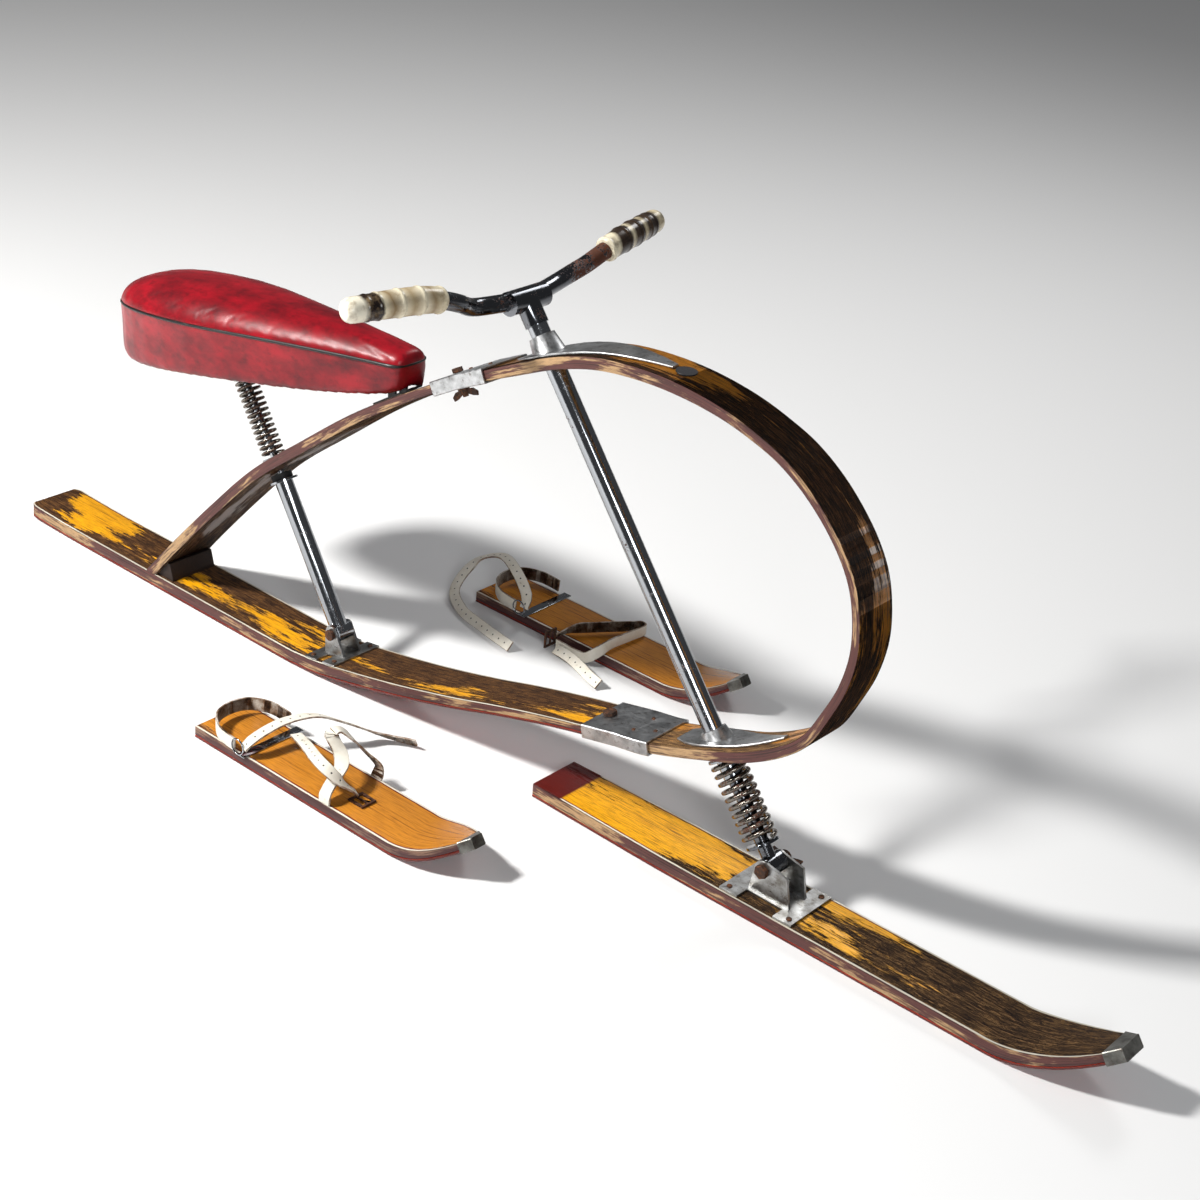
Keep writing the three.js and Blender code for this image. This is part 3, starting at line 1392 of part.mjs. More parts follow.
function buildFrontSki() {
  add(root, 'front_ski', ribbon(woodStations(frontSki)), 'wood');
  add(root, 'front_ski_sole', ribbon(soleStations(frontSki)), 'sole');
  add(root, 'front_tip_cap', tipCap(frontSki), 'aluminium');
  const gap = forkEyeWidth + 2 * earClear;
  const body = bracket(
    frontEar, frontPivotHeight, gap, boltRadius + headClear,
    frontPlateLength, frontPlateWidth, frontPlateOffset,
    frontLobe,
  );
  const wood = ribbon(grown(woodStations(frontSki), restGap));
  add(root, 'front_bracket', cut(onFace(frontFace, body), wood), 'aluminium');
  const reach = gap / 2 + earThickness;
  const end = headClear + wingHubHeight + boltEnd;
  const bolt = crossPin(reach, boltRadius, boltHeadRadius, boltHeadHeight, hexSides, end);
  add(root, 'front_bracket_bolt', bolt.applyMatrix4(at(pivotPoint.x, 0, pivotPoint.z)), 'rust');
  const nut = wingNut(boltRadius).applyMatrix4(new THREE.Matrix4().makeRotationX(-Math.PI / 2));
  nut.applyMatrix4(at(pivotPoint.x, reach + headClear, pivotPoint.z));
  add(root, 'front_wing_nut', nut, 'rust');
}

// Foot skis. Each stands in its own group, its tail at the group's origin.

const footSki = tippedSki(
  0, footLength, footTipReach, footTipRise, footWidth, footWood, footTipShares, 1, footTipReach,
);
const footTop = soleThickness + restGap + footWood;

// A flat band along a row of points, its face turned outward as the given function says.
function band(points, outwardAt, width, extra, steps = strapSteps) {
  const curve = new THREE.CatmullRomCurve3(points, false, 'centripetal');
  return loft(spread(0, 1, steps).map((share) => {
    const centre = curve.getPointAt(share);
    const tangent = curve.getTangentAt(share);
    const away = outwardAt(centre);
    away.addScaledVector(tangent, -away.dot(tangent)).normalize();
    const side = new THREE.Vector3().crossVectors(away, tangent);
    const thickness = strapThickness + 2 * extra;
    return ribbonRing({ centre, up: away, side, width: width + 2 * extra, thickness, chamfer: soleChamfer });
  }));
}

// A strap rises from both sides of the ski and goes over or behind the boot.
function strapPoints(x, reach, low, height, shares) {
  const half = footWidth / 2 + strapSideGap + strapThickness / 2;
  const pointOf = (side) => ([a, b, c]) => place(x + reach * a, side * half * b, low + height * c);
  const right = shares.map(pointOf(-1));
  const left = shares.slice(0, -1).map(pointOf(1)).reverse();
  return [...right, ...left];
}

function heelStrap(extra) {
  const points = strapPoints(heelStrapX, heelStrapReach, heelStrapFoot, heelStrapHeight, heelStrapShares);
  const turnX = heelStrapX - heelStrapTurn;
  return band(points, (centre) => place(Math.min(0, centre.x - turnX), centre.y, 0), strapWidth, extra);
}

function footPlace([a, b, c]) {
  return place(footLength * a, footLength * b, footLength * c);
}

// A strap's loose end, its face up and a little outward.
function looseStrap(shares, steps) {
  const outwardAt = (centre) => place(0, centre.y / 2, footWidth / 2);
  return band(shares.map(footPlace), outwardAt, strapWidth - strapThickness, 0, steps);
}

// The strap's long free end, from the ring over the instep and down.
function instepStrap(shares) {
  return mainPiece(cut(looseStrap(shares, strapSteps), heelStrap(restGap), heelFitting(restGap)));
}

// Over the ski from edge to edge.
function archedToeStrap() {
  const outwardAt = (centre) => place(0, centre.y, centre.z - strapFootZ);
  return band(rightToeShares.map(footPlace), outwardAt, strapWidth, 0, toeStrapSteps);
}

// Fallen over, so that it stands on its edge.
function fallenToeStrap() {
  const [a, b] = edgeLoopShares;
  const outwardAt = (centre) => place(centre.x - footLength * a, centre.y - footLength * b, 0);
  return band(leftToeShares.map(footPlace), outwardAt, strapWidth - strapThickness, 0, toeStrapSteps);
}

// A round wire ring, standing against the heel strap on the outer side.
function wireRing(x, y, z, wire) {
  const marks = spread(0, 2 * Math.PI, ringSteps).slice(0, -1);
  const rings = marks.map((angle) => {
    const out = place(Math.cos(angle), 0, Math.sin(angle));
    const centre = place(x, y, z).addScaledVector(out, ringRadius);
    return roundRing(centre, out, place(0, 1, 0), wire / 2, pipingSides);
  });
  return loft(rings, true);
}

// The wire ring on the end of a thin plate that lies across the ski under the straps.
function heelFitting(extra) {
  const foot = footTop + restGap;
  const top = foot + heelPlateThickness;
  const wire = ringWire + 2 * extra;
  const x = heelStrapX + ringReach;
  const reach = -ringY + ringWire / 2;
  const plate = block(
    heelPlateLength + 2 * extra, 2 * reach + 2 * extra, heelPlateThickness + 2 * extra,
    place(x + heelPlateLength / 2, 0, foot + heelPlateThickness / 2),
  );
  return join(plate, wireRing(x, ringY, top + ringRadius - ringWire / 2, wire));
}

// A frame with a pin across, lying flat around its middle.
function buckle() {
  const outer = block(buckleLength, buckleWidth, buckleWall, place(0, 0, 0));
  const inner = buckleWidth - 2 * buckleWall;
  const hole = block(buckleLength - 2 * buckleWall, inner, 2 * buckleWall, place(0, 0, 0));
  const pin = block(buckleLength - buckleWall, buckleWall / 2, buckleWall, place(0, 0, 0));
  return join(cut(outer, hole), pin);
}

// On the ski, under the end of the tongue.
function lyingBuckle() {
  const end = footPlace(rightTongueShares[rightTongueShares.length - 1]);
  const x = end.x + buckleLength / 2 - toeBuckleFoot;
  return buckle().applyMatrix4(at(x, end.y, footTop + restGap + buckleWall / 2));
}

// Beside the ski, upright across the strap's two ends.
function standingBuckle() {
  const end = footPlace(leftToeShares[leftToeShares.length - 1]);
  const upright = new THREE.Matrix4().makeRotationY(Math.PI / 2);
  const foot = toeBuckleFoot + buckleLength / 2;
  const x = footLength * leftToeShares[0][0] - buckleWall / 2 - toeBuckleFoot - strapThickness;
  return buckle().applyMatrix4(at(x, end.y + strapThickness, foot).multiply(upright));
}

const strapSide = footWidth / 2 + strapSideGap + strapThickness + strapBulge;
const ringY = strapBulge - strapSide - restGap - ringWire / 2;

function buildFootSki(name, x, y, shares, toeStrap, toeBuckle) {
  const group = new THREE.Group();
  group.position.set(x, y, 0);
  root.add(group);
  add(group, `${name}_foot_ski`, ribbon(woodStations(footSki)), 'footWood');
  add(group, `${name}_foot_ski_sole`, ribbon(soleStations(footSki)), 'sole');
  add(group, `${name}_foot_tip_cap`, tipCap(footSki), 'aluminium');
  add(group, `${name}_heel_strap`, heelStrap(0), 'strap');
  add(group, `${name}_instep_strap`, instepStrap(shares.instep), 'strap');
  add(group, `${name}_toe_strap`, toeStrap, 'strap');
  add(group, `${name}_toe_tongue`, looseStrap(shares.tongue, tongueSteps), 'strap');
  add(group, `${name}_heel_ring`, heelFitting(0), 'chrome');
  add(group, `${name}_toe_buckle`, toeBuckle, 'rust');
}

buildRearSki();
buildStay();
buildFootBlock();
buildLoop();
buildSleeves();
buildLugs();
buildBadge();
buildRearBracket();
buildSeatClip(buildSeatPost());
buildSaddle();
buildSeatHinge();
buildSteering();
buildGrip('grip_right', -1);
buildGrip('grip_left', 1);
buildFrontSki();
const rightShares = { instep: rightInstepShares, tongue: rightTongueShares };
const leftShares = { instep: leftInstepShares, tongue: leftTongueShares };
buildFootSki('right', rightFootX, rightFootY, rightShares, archedToeStrap(), lyingBuckle());
buildFootSki('left', leftFootX, leftFootY, leftShares, fallenToeStrap(), standingBuckle());

export default root;
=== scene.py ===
import json
import math
from bisect import bisect_right

import bmesh
import bpy
from mathutils import Matrix, Vector
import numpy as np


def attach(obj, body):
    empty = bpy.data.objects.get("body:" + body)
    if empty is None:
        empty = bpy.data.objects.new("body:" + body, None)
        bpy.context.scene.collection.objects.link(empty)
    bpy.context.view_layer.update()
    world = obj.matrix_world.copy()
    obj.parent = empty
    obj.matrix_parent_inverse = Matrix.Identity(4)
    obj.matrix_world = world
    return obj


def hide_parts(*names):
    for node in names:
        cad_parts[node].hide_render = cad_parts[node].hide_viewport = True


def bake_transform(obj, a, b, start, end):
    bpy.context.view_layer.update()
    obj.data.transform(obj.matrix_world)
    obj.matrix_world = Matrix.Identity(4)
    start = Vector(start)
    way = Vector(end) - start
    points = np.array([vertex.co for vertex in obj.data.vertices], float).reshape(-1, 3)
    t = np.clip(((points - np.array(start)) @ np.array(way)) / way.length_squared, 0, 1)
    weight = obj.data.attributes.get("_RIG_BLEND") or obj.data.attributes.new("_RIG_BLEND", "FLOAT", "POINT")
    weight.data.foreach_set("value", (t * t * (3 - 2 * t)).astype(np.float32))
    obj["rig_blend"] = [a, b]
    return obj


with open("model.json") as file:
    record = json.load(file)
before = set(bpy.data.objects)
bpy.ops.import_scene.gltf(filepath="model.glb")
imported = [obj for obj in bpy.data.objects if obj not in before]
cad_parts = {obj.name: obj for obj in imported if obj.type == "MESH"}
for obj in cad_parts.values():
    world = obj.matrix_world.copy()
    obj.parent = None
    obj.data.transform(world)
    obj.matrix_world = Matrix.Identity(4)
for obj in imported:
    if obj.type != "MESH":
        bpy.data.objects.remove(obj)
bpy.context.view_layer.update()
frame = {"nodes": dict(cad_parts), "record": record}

bl_info = {
    "name": "Bent-wood ski bike",
    "version": (1, 0, 0),
    "blender": (4, 5, 0),
    "location": "3D View > Sidebar > Ski bike",
    "description": "Dresses a bent-wood ski bike and its pair of foot skis",
    "category": "Object",
}

NODES = frame["nodes"]

# The long curves of the bike in its centre plane, as (x, z) in metres.
LOWER_JOINT = (0.883, 0.145)
LOOP_REACH = 0.3115
LOOP_RISE = 0.474
LOOP_SHARES = (
    (0, 0), (0.149, 0.019), (0.411, 0.078), (0.591, 0.125), (0.761, 0.194), (0.855, 0.254), (0.925, 0.345),
    (0.975, 0.43), (1, 0.528), (0.987, 0.62), (0.95, 0.7), (0.873, 0.779), (0.735, 0.868), (0.591, 0.928),
    (0.45, 0.962), (0.31, 0.985), (0.12, 1), (-0.08, 1), (-0.28, 0.984), (-0.477, 0.944), (-0.722, 0.869),
    (-0.96, 0.792),
)
LOOP_THICKNESS = (0.86, 1, 1, 0.86, 0.76, 0.76, 0.86, 1.05, 1.12, 1.12, 0.86)
STAY_FOOT = (-0.008, 0.020)
STAY_SHARES = (
    (0, 0), (0.089, 0.121), (0.239, 0.314), (0.379, 0.481), (0.546, 0.638), (0.704, 0.781), (0.853, 0.897),
    (1, 1),
)
# The rear ski rises at its tail, lies flat, and bends up to meet the loop.
REAR_TAIL = -0.3
TAIL_FLAT = -0.15
TAIL_RISE = 0.004
BEND_START = 0.3
BEND_REACH = 0.583
BEND_RISE = 0.139
BEND_PLACES = (0, 0.09, 0.21, 0.37, 0.53, 0.68, 0.83, 1)
BEND_RISES = (0, 0.035, 0.13, 0.284, 0.468, 0.662, 0.835, 1)
SKI_WIDTH = 0.09
SPLICE_WIDTH = 0.076
LOOP_WIDTH = 0.064
LOOP_WOOD = 0.014
STAY_WOOD = 0.015
SPLICE_WOOD = 0.012
SOLE = 0.003
GAP = 0.0003
WOOD = 0.0167
FOOT_WOOD = 0.0137
ACROSS = Vector((0, 1, 0))
# The rounding of the edges of thin soles and straps, in metres.
THIN_EDGE = 0.0005
# The ends of the loop and the stay stop short of the wood that they meet.
CUT_BACK = 0.001


# ---- small tools

def linear(code):
    """A colour written as sRGB hex, as linear red, green, blue and alpha."""
    parts = [int(code[i:i + 2], 16) / 255 for i in (1, 3, 5)]
    return [c / 12.92 if c <= 0.04045 else ((c + 0.055) / 1.055) ** 2.4 for c in parts] + [1.0]


def blend(values, share):
    t = min(max(share, 0), 1) * (len(values) - 1)
    i = min(int(t), len(values) - 2)
    return values[i] + (values[i + 1] - values[i]) * (t - i)


def ease(share):
    return share * share * (3 - 2 * share)


def spread(low, high, steps):
    return [low + (high - low) * i / steps for i in range(steps + 1)]


class Line:
    """A smooth line through points, read by its share of the length."""

    def __init__(self, points, fine=24):
        self.points = [Vector(p) for p in points]
        self.samples = []
        for i in range(len(self.points) - 1):
            for k in range(fine):
                self.samples.append(self._between(i, k / fine))
        self.samples.append(self.points[-1].copy())
        self.marks = [0.0]
        for a, b in zip(self.samples, self.samples[1:]):
            self.marks.append(self.marks[-1] + (b - a).length)
        self.length = self.marks[-1]

    def _between(self, i, t):
        p = self.points
        p1, p2 = p[i], p[i + 1]
        p0 = p[i - 1] if i else p1 * 2 - p2
        p3 = p[i + 2] if i + 2 < len(p) else p2 * 2 - p1
        d1 = max((p1 - p0).length ** 0.5, 1e-6)
        d2 = max((p2 - p1).length ** 0.5, 1e-6)
        d3 = max((p3 - p2).length ** 0.5, 1e-6)
        m1 = ((p1 - p0) / d1 - (p2 - p0) / (d1 + d2) + (p2 - p1) / d2) * d2
        m2 = ((p2 - p1) / d2 - (p3 - p1) / (d2 + d3) + (p3 - p2) / d3) * d2
        a, b = t * t, t * t * t
        return p1 * (2 * b - 3 * a + 1) + m1 * (b - 2 * a + t) + p2 * (3 * a - 2 * b) + m2 * (b - a)

    def at(self, share):
        want = min(max(share, 0), 1) * self.length
        i = min(bisect_right(self.marks, want), len(self.marks) - 1)
        t = (want - self.marks[i - 1]) / max(self.marks[i] - self.marks[i - 1], 1e-9)
        return self.samples[i - 1].lerp(self.samples[i], t)

    def tangent(self, share):
        step = 0.002
        return (self.at(min(share + step, 1)) - self.at(max(share - step, 0))).normalized()


def frame_at(point, side, up, tangent, width=1.0, height=1.0):
    """A matrix that stands at a point: X to the side, Y up, Z along."""
    m = Matrix.Identity(4)
    for row in range(3):
        m[row][0] = side[row] * width
        m[row][1] = up[row] * height
        m[row][2] = tangent[row]
        m[row][3] = point[row]
    return m


def sweep(bm, face, frames, lengths=None):
    """Extrudes a profile face that lies at the origin through a row of frames."""
    layer = bm.verts.layers.float.get("length")
    bmesh.ops.transform(bm, matrix=frames[0], verts=face.verts)
    for i in range(1, len(frames)):
        out = bmesh.ops.extrude_face_region(bm, geom=[face])
        fresh = [g for g in out["geom"] if isinstance(g, bmesh.types.BMVert)]
        face = next(g for g in out["geom"] if isinstance(g, bmesh.types.BMFace))
        bmesh.ops.transform(bm, matrix=frames[i] @ frames[i - 1].inverted(), verts=fresh)
        for v in fresh if layer else ():
            v[layer] = lengths[i]


def round_face(bm, radius, sides):
    out = bmesh.ops.create_circle(bm, cap_ends=True, radius=radius, segments=sides)
    return out["verts"][0].link_faces[0]


def rod_frames(line, steps, radius=lambda share: 1.0):
    frames = []
    for share in spread(0, 1, steps):
        tangent = line.tangent(share)
        side = Vector((1, 0, 0)).cross(tangent).normalized()
        r = radius(share)
        frames.append(frame_at(line.at(share), side, tangent.cross(side), tangent, r, r))
    return frames


def settle(name, bm, looks, body, node, smooth=35):
    """Turns a bmesh into a finished piece that rides on a body and replaces a CAD node."""
    bmesh.ops.recalc_face_normals(bm, faces=bm.faces)
    mesh = bpy.data.meshes.new(name)
    bm.to_mesh(mesh)
    bm.free()
    for poly in mesh.polygons:
        poly.use_smooth = True
    mesh.set_sharp_from_angle(angle=math.radians(smooth))
    piece = bpy.data.objects.new(name, mesh)
    bpy.context.scene.collection.objects.link(piece)
    for look in [looks] if isinstance(looks, str) else looks:
        mesh.materials.append(LOOKS[look])
    if body:
        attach(piece, body)
    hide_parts(node)
    return piece


def modified(piece, name, kind, **settings):
    """Gives a piece a modifier with these settings."""
    mod = piece.modifiers.new(name, kind)
    for key, value in settings.items():
        setattr(mod, key, value)


def bevelled(piece, width, segments=2, **more):
    modified(
        piece, "edge", "BEVEL", width=width, segments=segments, limit_method="ANGLE",
        angle_limit=math.radians(30), **more)


def copied(node):
    """A merged copy of a CAD node's mesh, as a bmesh."""
    bm = bmesh.new()
    bm.from_mesh(NODES[node].data)
    bmesh.ops.remove_doubles(bm, verts=bm.verts, dist=1e-6)
    bmesh.ops.dissolve_limit(bm, angle_limit=math.radians(1), verts=bm.verts, edges=bm.edges)
    return bm


# ---- materials

def as_colour(value):
    """A colour from sRGB hex, or a grey from a number."""
    return linear(value) if isinstance(value, str) else (value, value, value, 1)


class Surface:
    """A material in the making, with short ways to add nodes to it."""

    def __init__(self, name):
        self.mat = bpy.data.materials.new(name)
        self.mat.use_nodes = True
        self.tree = self.mat.node_tree
        self.shader = self.tree.nodes["Principled BSDF"]

    def fill(self, made, inputs):
        """Links or sets the inputs of a node, by name or by number."""
        for key, value in inputs.items():
            if isinstance(value, bpy.types.NodeSocket):
                self.tree.links.new(value, made.inputs[key])
            else:
                made.inputs[key].default_value = value
        return made

    def node(self, kind, inputs=None, **settings):
        made = self.tree.nodes.new(kind)
        for key, value in settings.items():
            setattr(made, key, value)
        return self.fill(made, inputs or {})

    def place(self):
        """The point's place on the object."""
        return self.node("ShaderNodeTexCoord").outputs["Object"]

    def run(self):
        """How far along its piece a point lies, in metres, and how far across, from -1 to 1."""
        uv = self.node("ShaderNodeUVMap", uv_map="Run").outputs["UV"]
        split = self.node("ShaderNodeSeparateXYZ", {"Vector": uv})
        return split.outputs["X"], split.outputs["Y"]

    def flat(self, far, across, half, seed=0.0):
        """The point's place on a strip of this half width, as a vector in metres."""
        parts = {"X": far, "Y": self.times(across, half), "Z": seed}
        return self.node("ShaderNodeCombineXYZ", parts).outputs["Vector"]

    def math(self, operation, a, b=0.0):
        return self.node("ShaderNodeMath", {0: a, 1: b}, operation=operation).outputs[0]

    def plus(self, a, b):
        return self.math("ADD", a, b)

    def minus(self, a, b):
        return self.math("SUBTRACT", a, b)

    def times(self, a, b):
        return self.math("MULTIPLY", a, b)

    def span(self, kind, inputs):
        """A length from vectors, LENGTH or DISTANCE."""
        return self.node("ShaderNodeVectorMath", inputs, operation=kind).outputs["Value"]

    def ramp(self, factor, *stops):
        """A colour ramp. Each stop is a place with a hex colour or a grey."""
        made = self.node("ShaderNodeValToRGB", {"Fac": factor})
        band = made.color_ramp.elements
        while len(band) < len(stops):
            band.new(0.5)
        for element, (place, colour) in zip(band, stops):
            element.position = place
            element.color = as_colour(colour)
        return made.outputs["Color"]

    def mix(self, factor, first, second):
        """Mixes two colours, each a socket, a hex colour or a grey."""
        ends = [c if isinstance(c, bpy.types.NodeSocket) else as_colour(c) for c in (first, second)]
        return self.node("ShaderNodeMix", {0: factor, 6: ends[0], 7: ends[1]}, data_type="RGBA").outputs[2]

    def noise(self, vector, scale, detail, rough, stretch=(1, 1, 1), shift=(0, 0, 0)):
        mapping = self.node("ShaderNodeMapping", {"Vector": vector, "Scale": stretch, "Location": shift})
        return self.node("ShaderNodeTexNoise", {
            "Vector": mapping.outputs["Vector"], "Scale": scale, "Detail": detail, "Roughness": rough,
        }).outputs["Fac"]

    def finish(self, colour, rough, height, strength, distance, more=None):
        """Links the shader's inputs and its bump, and gives the material."""
        relief = self.node("ShaderNodeBump", {"Height": height, "Strength": strength, "Distance": distance})
        self.fill(self.shader, {
            "Base Color": colour, "Roughness": rough, "Normal": relief.outputs["Normal"], **(more or {})})
        return self.mat


def varnished_top(name, bright, mid, bare, dark, worn, seed, lines=True, gloss=0.3, length=1.0, along=None,
                  scuff=0.35, band=0.0, pale=0.06):
    """Laminated ski wood under old amber varnish: bright where the varnish is whole, dark and
    fibrous where it has worn off, with a white and a dark red line along each arris."""
    s = Surface(name)
    far, across = s.run()
    metric = s.flat(far, across, 0.045, seed)
    # Grain lines about 2 mm apart, drawn out along the wood.
    grain = s.noise(metric, 9, 6, 0.62, (1, 42, 1))
    fibre = s.noise(metric, 40, 5, 0.7, (1, 16, 1))
    colour = s.ramp(grain, (0.34, mid), (0.46, bright), (0.56, bright), (0.66, mid))
    colour = s.mix(s.ramp(grain, (0.33, 0.6), (0.4, 0)), colour, dark)
    colour = s.mix(s.ramp(fibre, (0.45, 0), (0.72, scuff)), colour, dark)
    # Worn places: broad patches with ragged ends along the grain.
    patch = s.noise(metric, 3.2, 5, 0.6, (1, 5, 1), (seed, 0, 0))
    rag = s.noise(metric, 30, 6, 0.75, (1, 8, 1))
    edge = s.math("ABSOLUTE", across)
    wear = s.plus(patch, s.times(rag, 0.42))
    wear = s.plus(wear, s.times(s.math("POWER", edge, 4), 0.14))
    place = s.math("DIVIDE", far, length)
    if along:
        # Where along the wood the varnish has gone most: 0.5 leaves the wear as it is.
        wear = s.plus(wear, s.times(s.minus(s.ramp(place, *along), 0.5), 0.6))
    mask = s.ramp(wear, (worn, 0), (worn + 0.035, 1))
    whole = s.minus(1, mask)
    streak = s.noise(metric, 24, 6, 0.72, (1, 26, 1), (seed, seed, 0))
    raw = s.ramp(streak, (0.5 - 1.6 * pale, dark), (0.5, bare), (0.5 + pale, dark), (0.67 - pale, dark),
                 (0.67, bare), (0.75, dark))
    raw = s.mix(s.ramp(rag, (0.42, 0), (0.58, 0.85)), raw, dark)
    colour = s.mix(mask, colour, raw)
    if lines:
        faded = s.plus(edge, s.times(s.minus(rag, 0.5), 0.05))
        white = s.ramp(faded, (0.93, 0), (0.94, 1))
        red = s.ramp(faded, (0.885, 0), (0.895, 1), (0.93, 1), (0.94, 0))
        colour = s.mix(s.times(red, whole), colour, "#6A1512")
        kept = s.times(white, s.ramp(wear, (worn, 1), (worn + 0.2, 0.6)))
        colour = s.mix(kept, colour, "#E9E3D2")
    if band:
        end = s.ramp(place, (band, 1), (band + 0.004, 0))
        colour = s.mix(end, colour, s.mix(rag, "#6A1A14", "#3A0F0C"))
    return s.finish(colour, s.mix(mask, gloss, 0.75), s.minus(fibre, s.times(mask, 0.8)), 0.5, 0.0006, {
        "Coat Weight": s.times(whole, 0.15), "Coat Roughness": 0.2,
        "Specular IOR Level": s.minus(0.5, s.times(mask, 0.35)),
    })


def laminated_side(name, base, pale, dark, seed):
    """The sawn and painted side of laminated wood: maroon plies rubbed bare in long streaks."""
    s = Surface(name)
    metric = s.flat(*s.run(), 0.008, seed)
    ply = s.noise(metric, 10, 4, 0.6, (0.6, 55, 1))
    streak = s.noise(metric, 26, 6, 0.7, (1, 14, 1))
    patch = s.noise(metric, 7, 5, 0.65, (1, 6, 1), (seed, 0, 0))
    colour = s.ramp(ply, (0.35, dark), (0.5, base), (0.65, dark))
    bare = s.ramp(streak, (0.35, dark), (0.55, pale), (0.75, dark))
    mask = s.ramp(s.plus(patch, s.times(streak, 0.3)), (0.66, 0), (0.72, 1))
    return s.finish(s.mix(mask, colour, bare), 0.6, ply, 0.4, 0.0005)


def plain_sole(name, code, dark, light):
    """The red running surface: smooth lacquer with long scratches."""
    s = Surface(name)
    scratch = s.noise(s.place(), 30, 6, 0.7, (1, 30, 30))
    colour = s.ramp(scratch, (0.35, dark), (0.5, code), (0.8, light))
    return s.finish(colour, s.ramp(scratch, (0.3, 0.25), (0.8, 0.5)), scratch, 0.25, 0.0003)


def old_chrome(name, tone, pits=0.72, rough=0.08, stain=None):
    """Chromium plate with pin-holes of rust and light clouding. The stain is a rusted place and its reach."""
    s = Surface(name)
    place = s.place()
    cloud = s.noise(place, 60, 5, 0.6)
    both = s.plus(s.times(cloud, 0.5), s.times(s.noise(place, 420, 4, 0.6), 0.5))
    if stain:
        away = s.math("DIVIDE", s.span("DISTANCE", {0: place, 1: stain[0]}), stain[1])
        both = s.plus(both, s.ramp(away, (0.3, 0.22), (1, 0)))
    mask = s.ramp(both, (pits - 0.12, 0), (pits - 0.07, 1))
    colour = s.mix(mask, tone, s.mix(cloud, "#6A3418", "#2E1A10"))
    clouded = s.mix(mask, s.ramp(cloud, (0.35, rough), (0.75, rough + 0.1)), 0.8)
    return s.finish(colour, clouded, s.minus(1, mask), 0.4, 0.0002, {"Metallic": s.mix(mask, 1, 0.1)})


def worn_aluminium(name, tone="#C9CACB", rough=0.36, shade="#8E8F90"):
    """Sheet and cast aluminium, polished once and scratched since."""
    s = Surface(name)
    place = s.place()
    scratch = s.noise(place, 90, 3, 0.6, (1, 9, 3))
    stain = s.ramp(s.noise(place, 120, 6, 0.7), (0.54, 0), (0.7, 0.8))
    colour = s.mix(stain, s.ramp(s.noise(place, 45, 6, 0.65), (0.3, shade), (0.6, tone)), "#5E5148")
    dulled = s.ramp(scratch, (0.3, rough - 0.08), (0.7, rough + 0.14))
    return s.finish(colour, dulled, scratch, 0.15, 0.0002, {"Metallic": 1})


def rusty_iron(name):
    """Plain steel gone brown: rough scale over dark metal."""
    s = Surface(name)
    place = s.place()
    scale = s.noise(place, 260, 6, 0.7)
    broad = s.noise(place, 70, 4, 0.6)
    colour = s.ramp(scale, (0.3, "#1D1410"), (0.5, "#4A2E1E"), (0.62, "#7A4A2A"), (0.8, "#2A1C15"))
    colour = s.mix(s.ramp(broad, (0.45, 0), (0.7, 0.6)), colour, "#3B3633")
    return s.finish(colour, s.ramp(scale, (0.3, 0.55), (0.7, 0.85)), scale, 0.6, 0.0004, {
        "Metallic": s.ramp(broad, (0.3, 0.15), (0.7, 0.6)),
    })


def black_paint(name, code="#17161A", rough=0.45):
    """Stoved black paint with patches of dust."""
    s = Surface(name)
    dust = s.noise(s.place(), 150, 5, 0.65)
    colour = s.mix(s.ramp(dust, (0.55, 0), (0.8, 0.5)), code, "#5A544C")
    return s.finish(colour, s.ramp(dust, (0.3, rough - 0.1), (0.7, rough + 0.2)), dust, 0.2, 0.0002)


def dark_wood(name):
    """A block of hardwood stained nearly black, rough with age."""
    s = Surface(name)
    grain = s.noise(s.place(), 60, 5, 0.65, (1, 6, 6))
    colour = s.ramp(grain, (0.35, "#100905"), (0.55, "#2A170D"), (0.75, "#160C07"))
    return s.finish(colour, 0.7, grain, 0.4, 0.0005)


def red_leather(name):
    """Leathercloth: deep red, mottled darker, with a fine pebble and a soft shine."""
    s = Surface(name)
    place = s.place()
    cloud = s.noise(place, 14, 6, 0.65, (1, 1.6, 1.6))
    vein = s.noise(place, 55, 6, 0.7, (1, 1.5, 1.5))
    colour = s.ramp(cloud, (0.3, "#4E0610"), (0.5, "#800A17"), (0.7, "#A00E1E"))
    colour = s.mix(s.ramp(vein, (0.5, 0), (0.72, 0.6)), colour, "#34060C")
    pebble = s.node("ShaderNodeTexVoronoi", {"Vector": place, "Scale": 900}, feature="DISTANCE_TO_EDGE")
    shine = s.ramp(cloud, (0.3, 0.4), (0.7, 0.3))
    return s.finish(colour, shine, pebble.outputs["Distance"], 0.22, 0.0004, {"Specular IOR Level": 0.35})


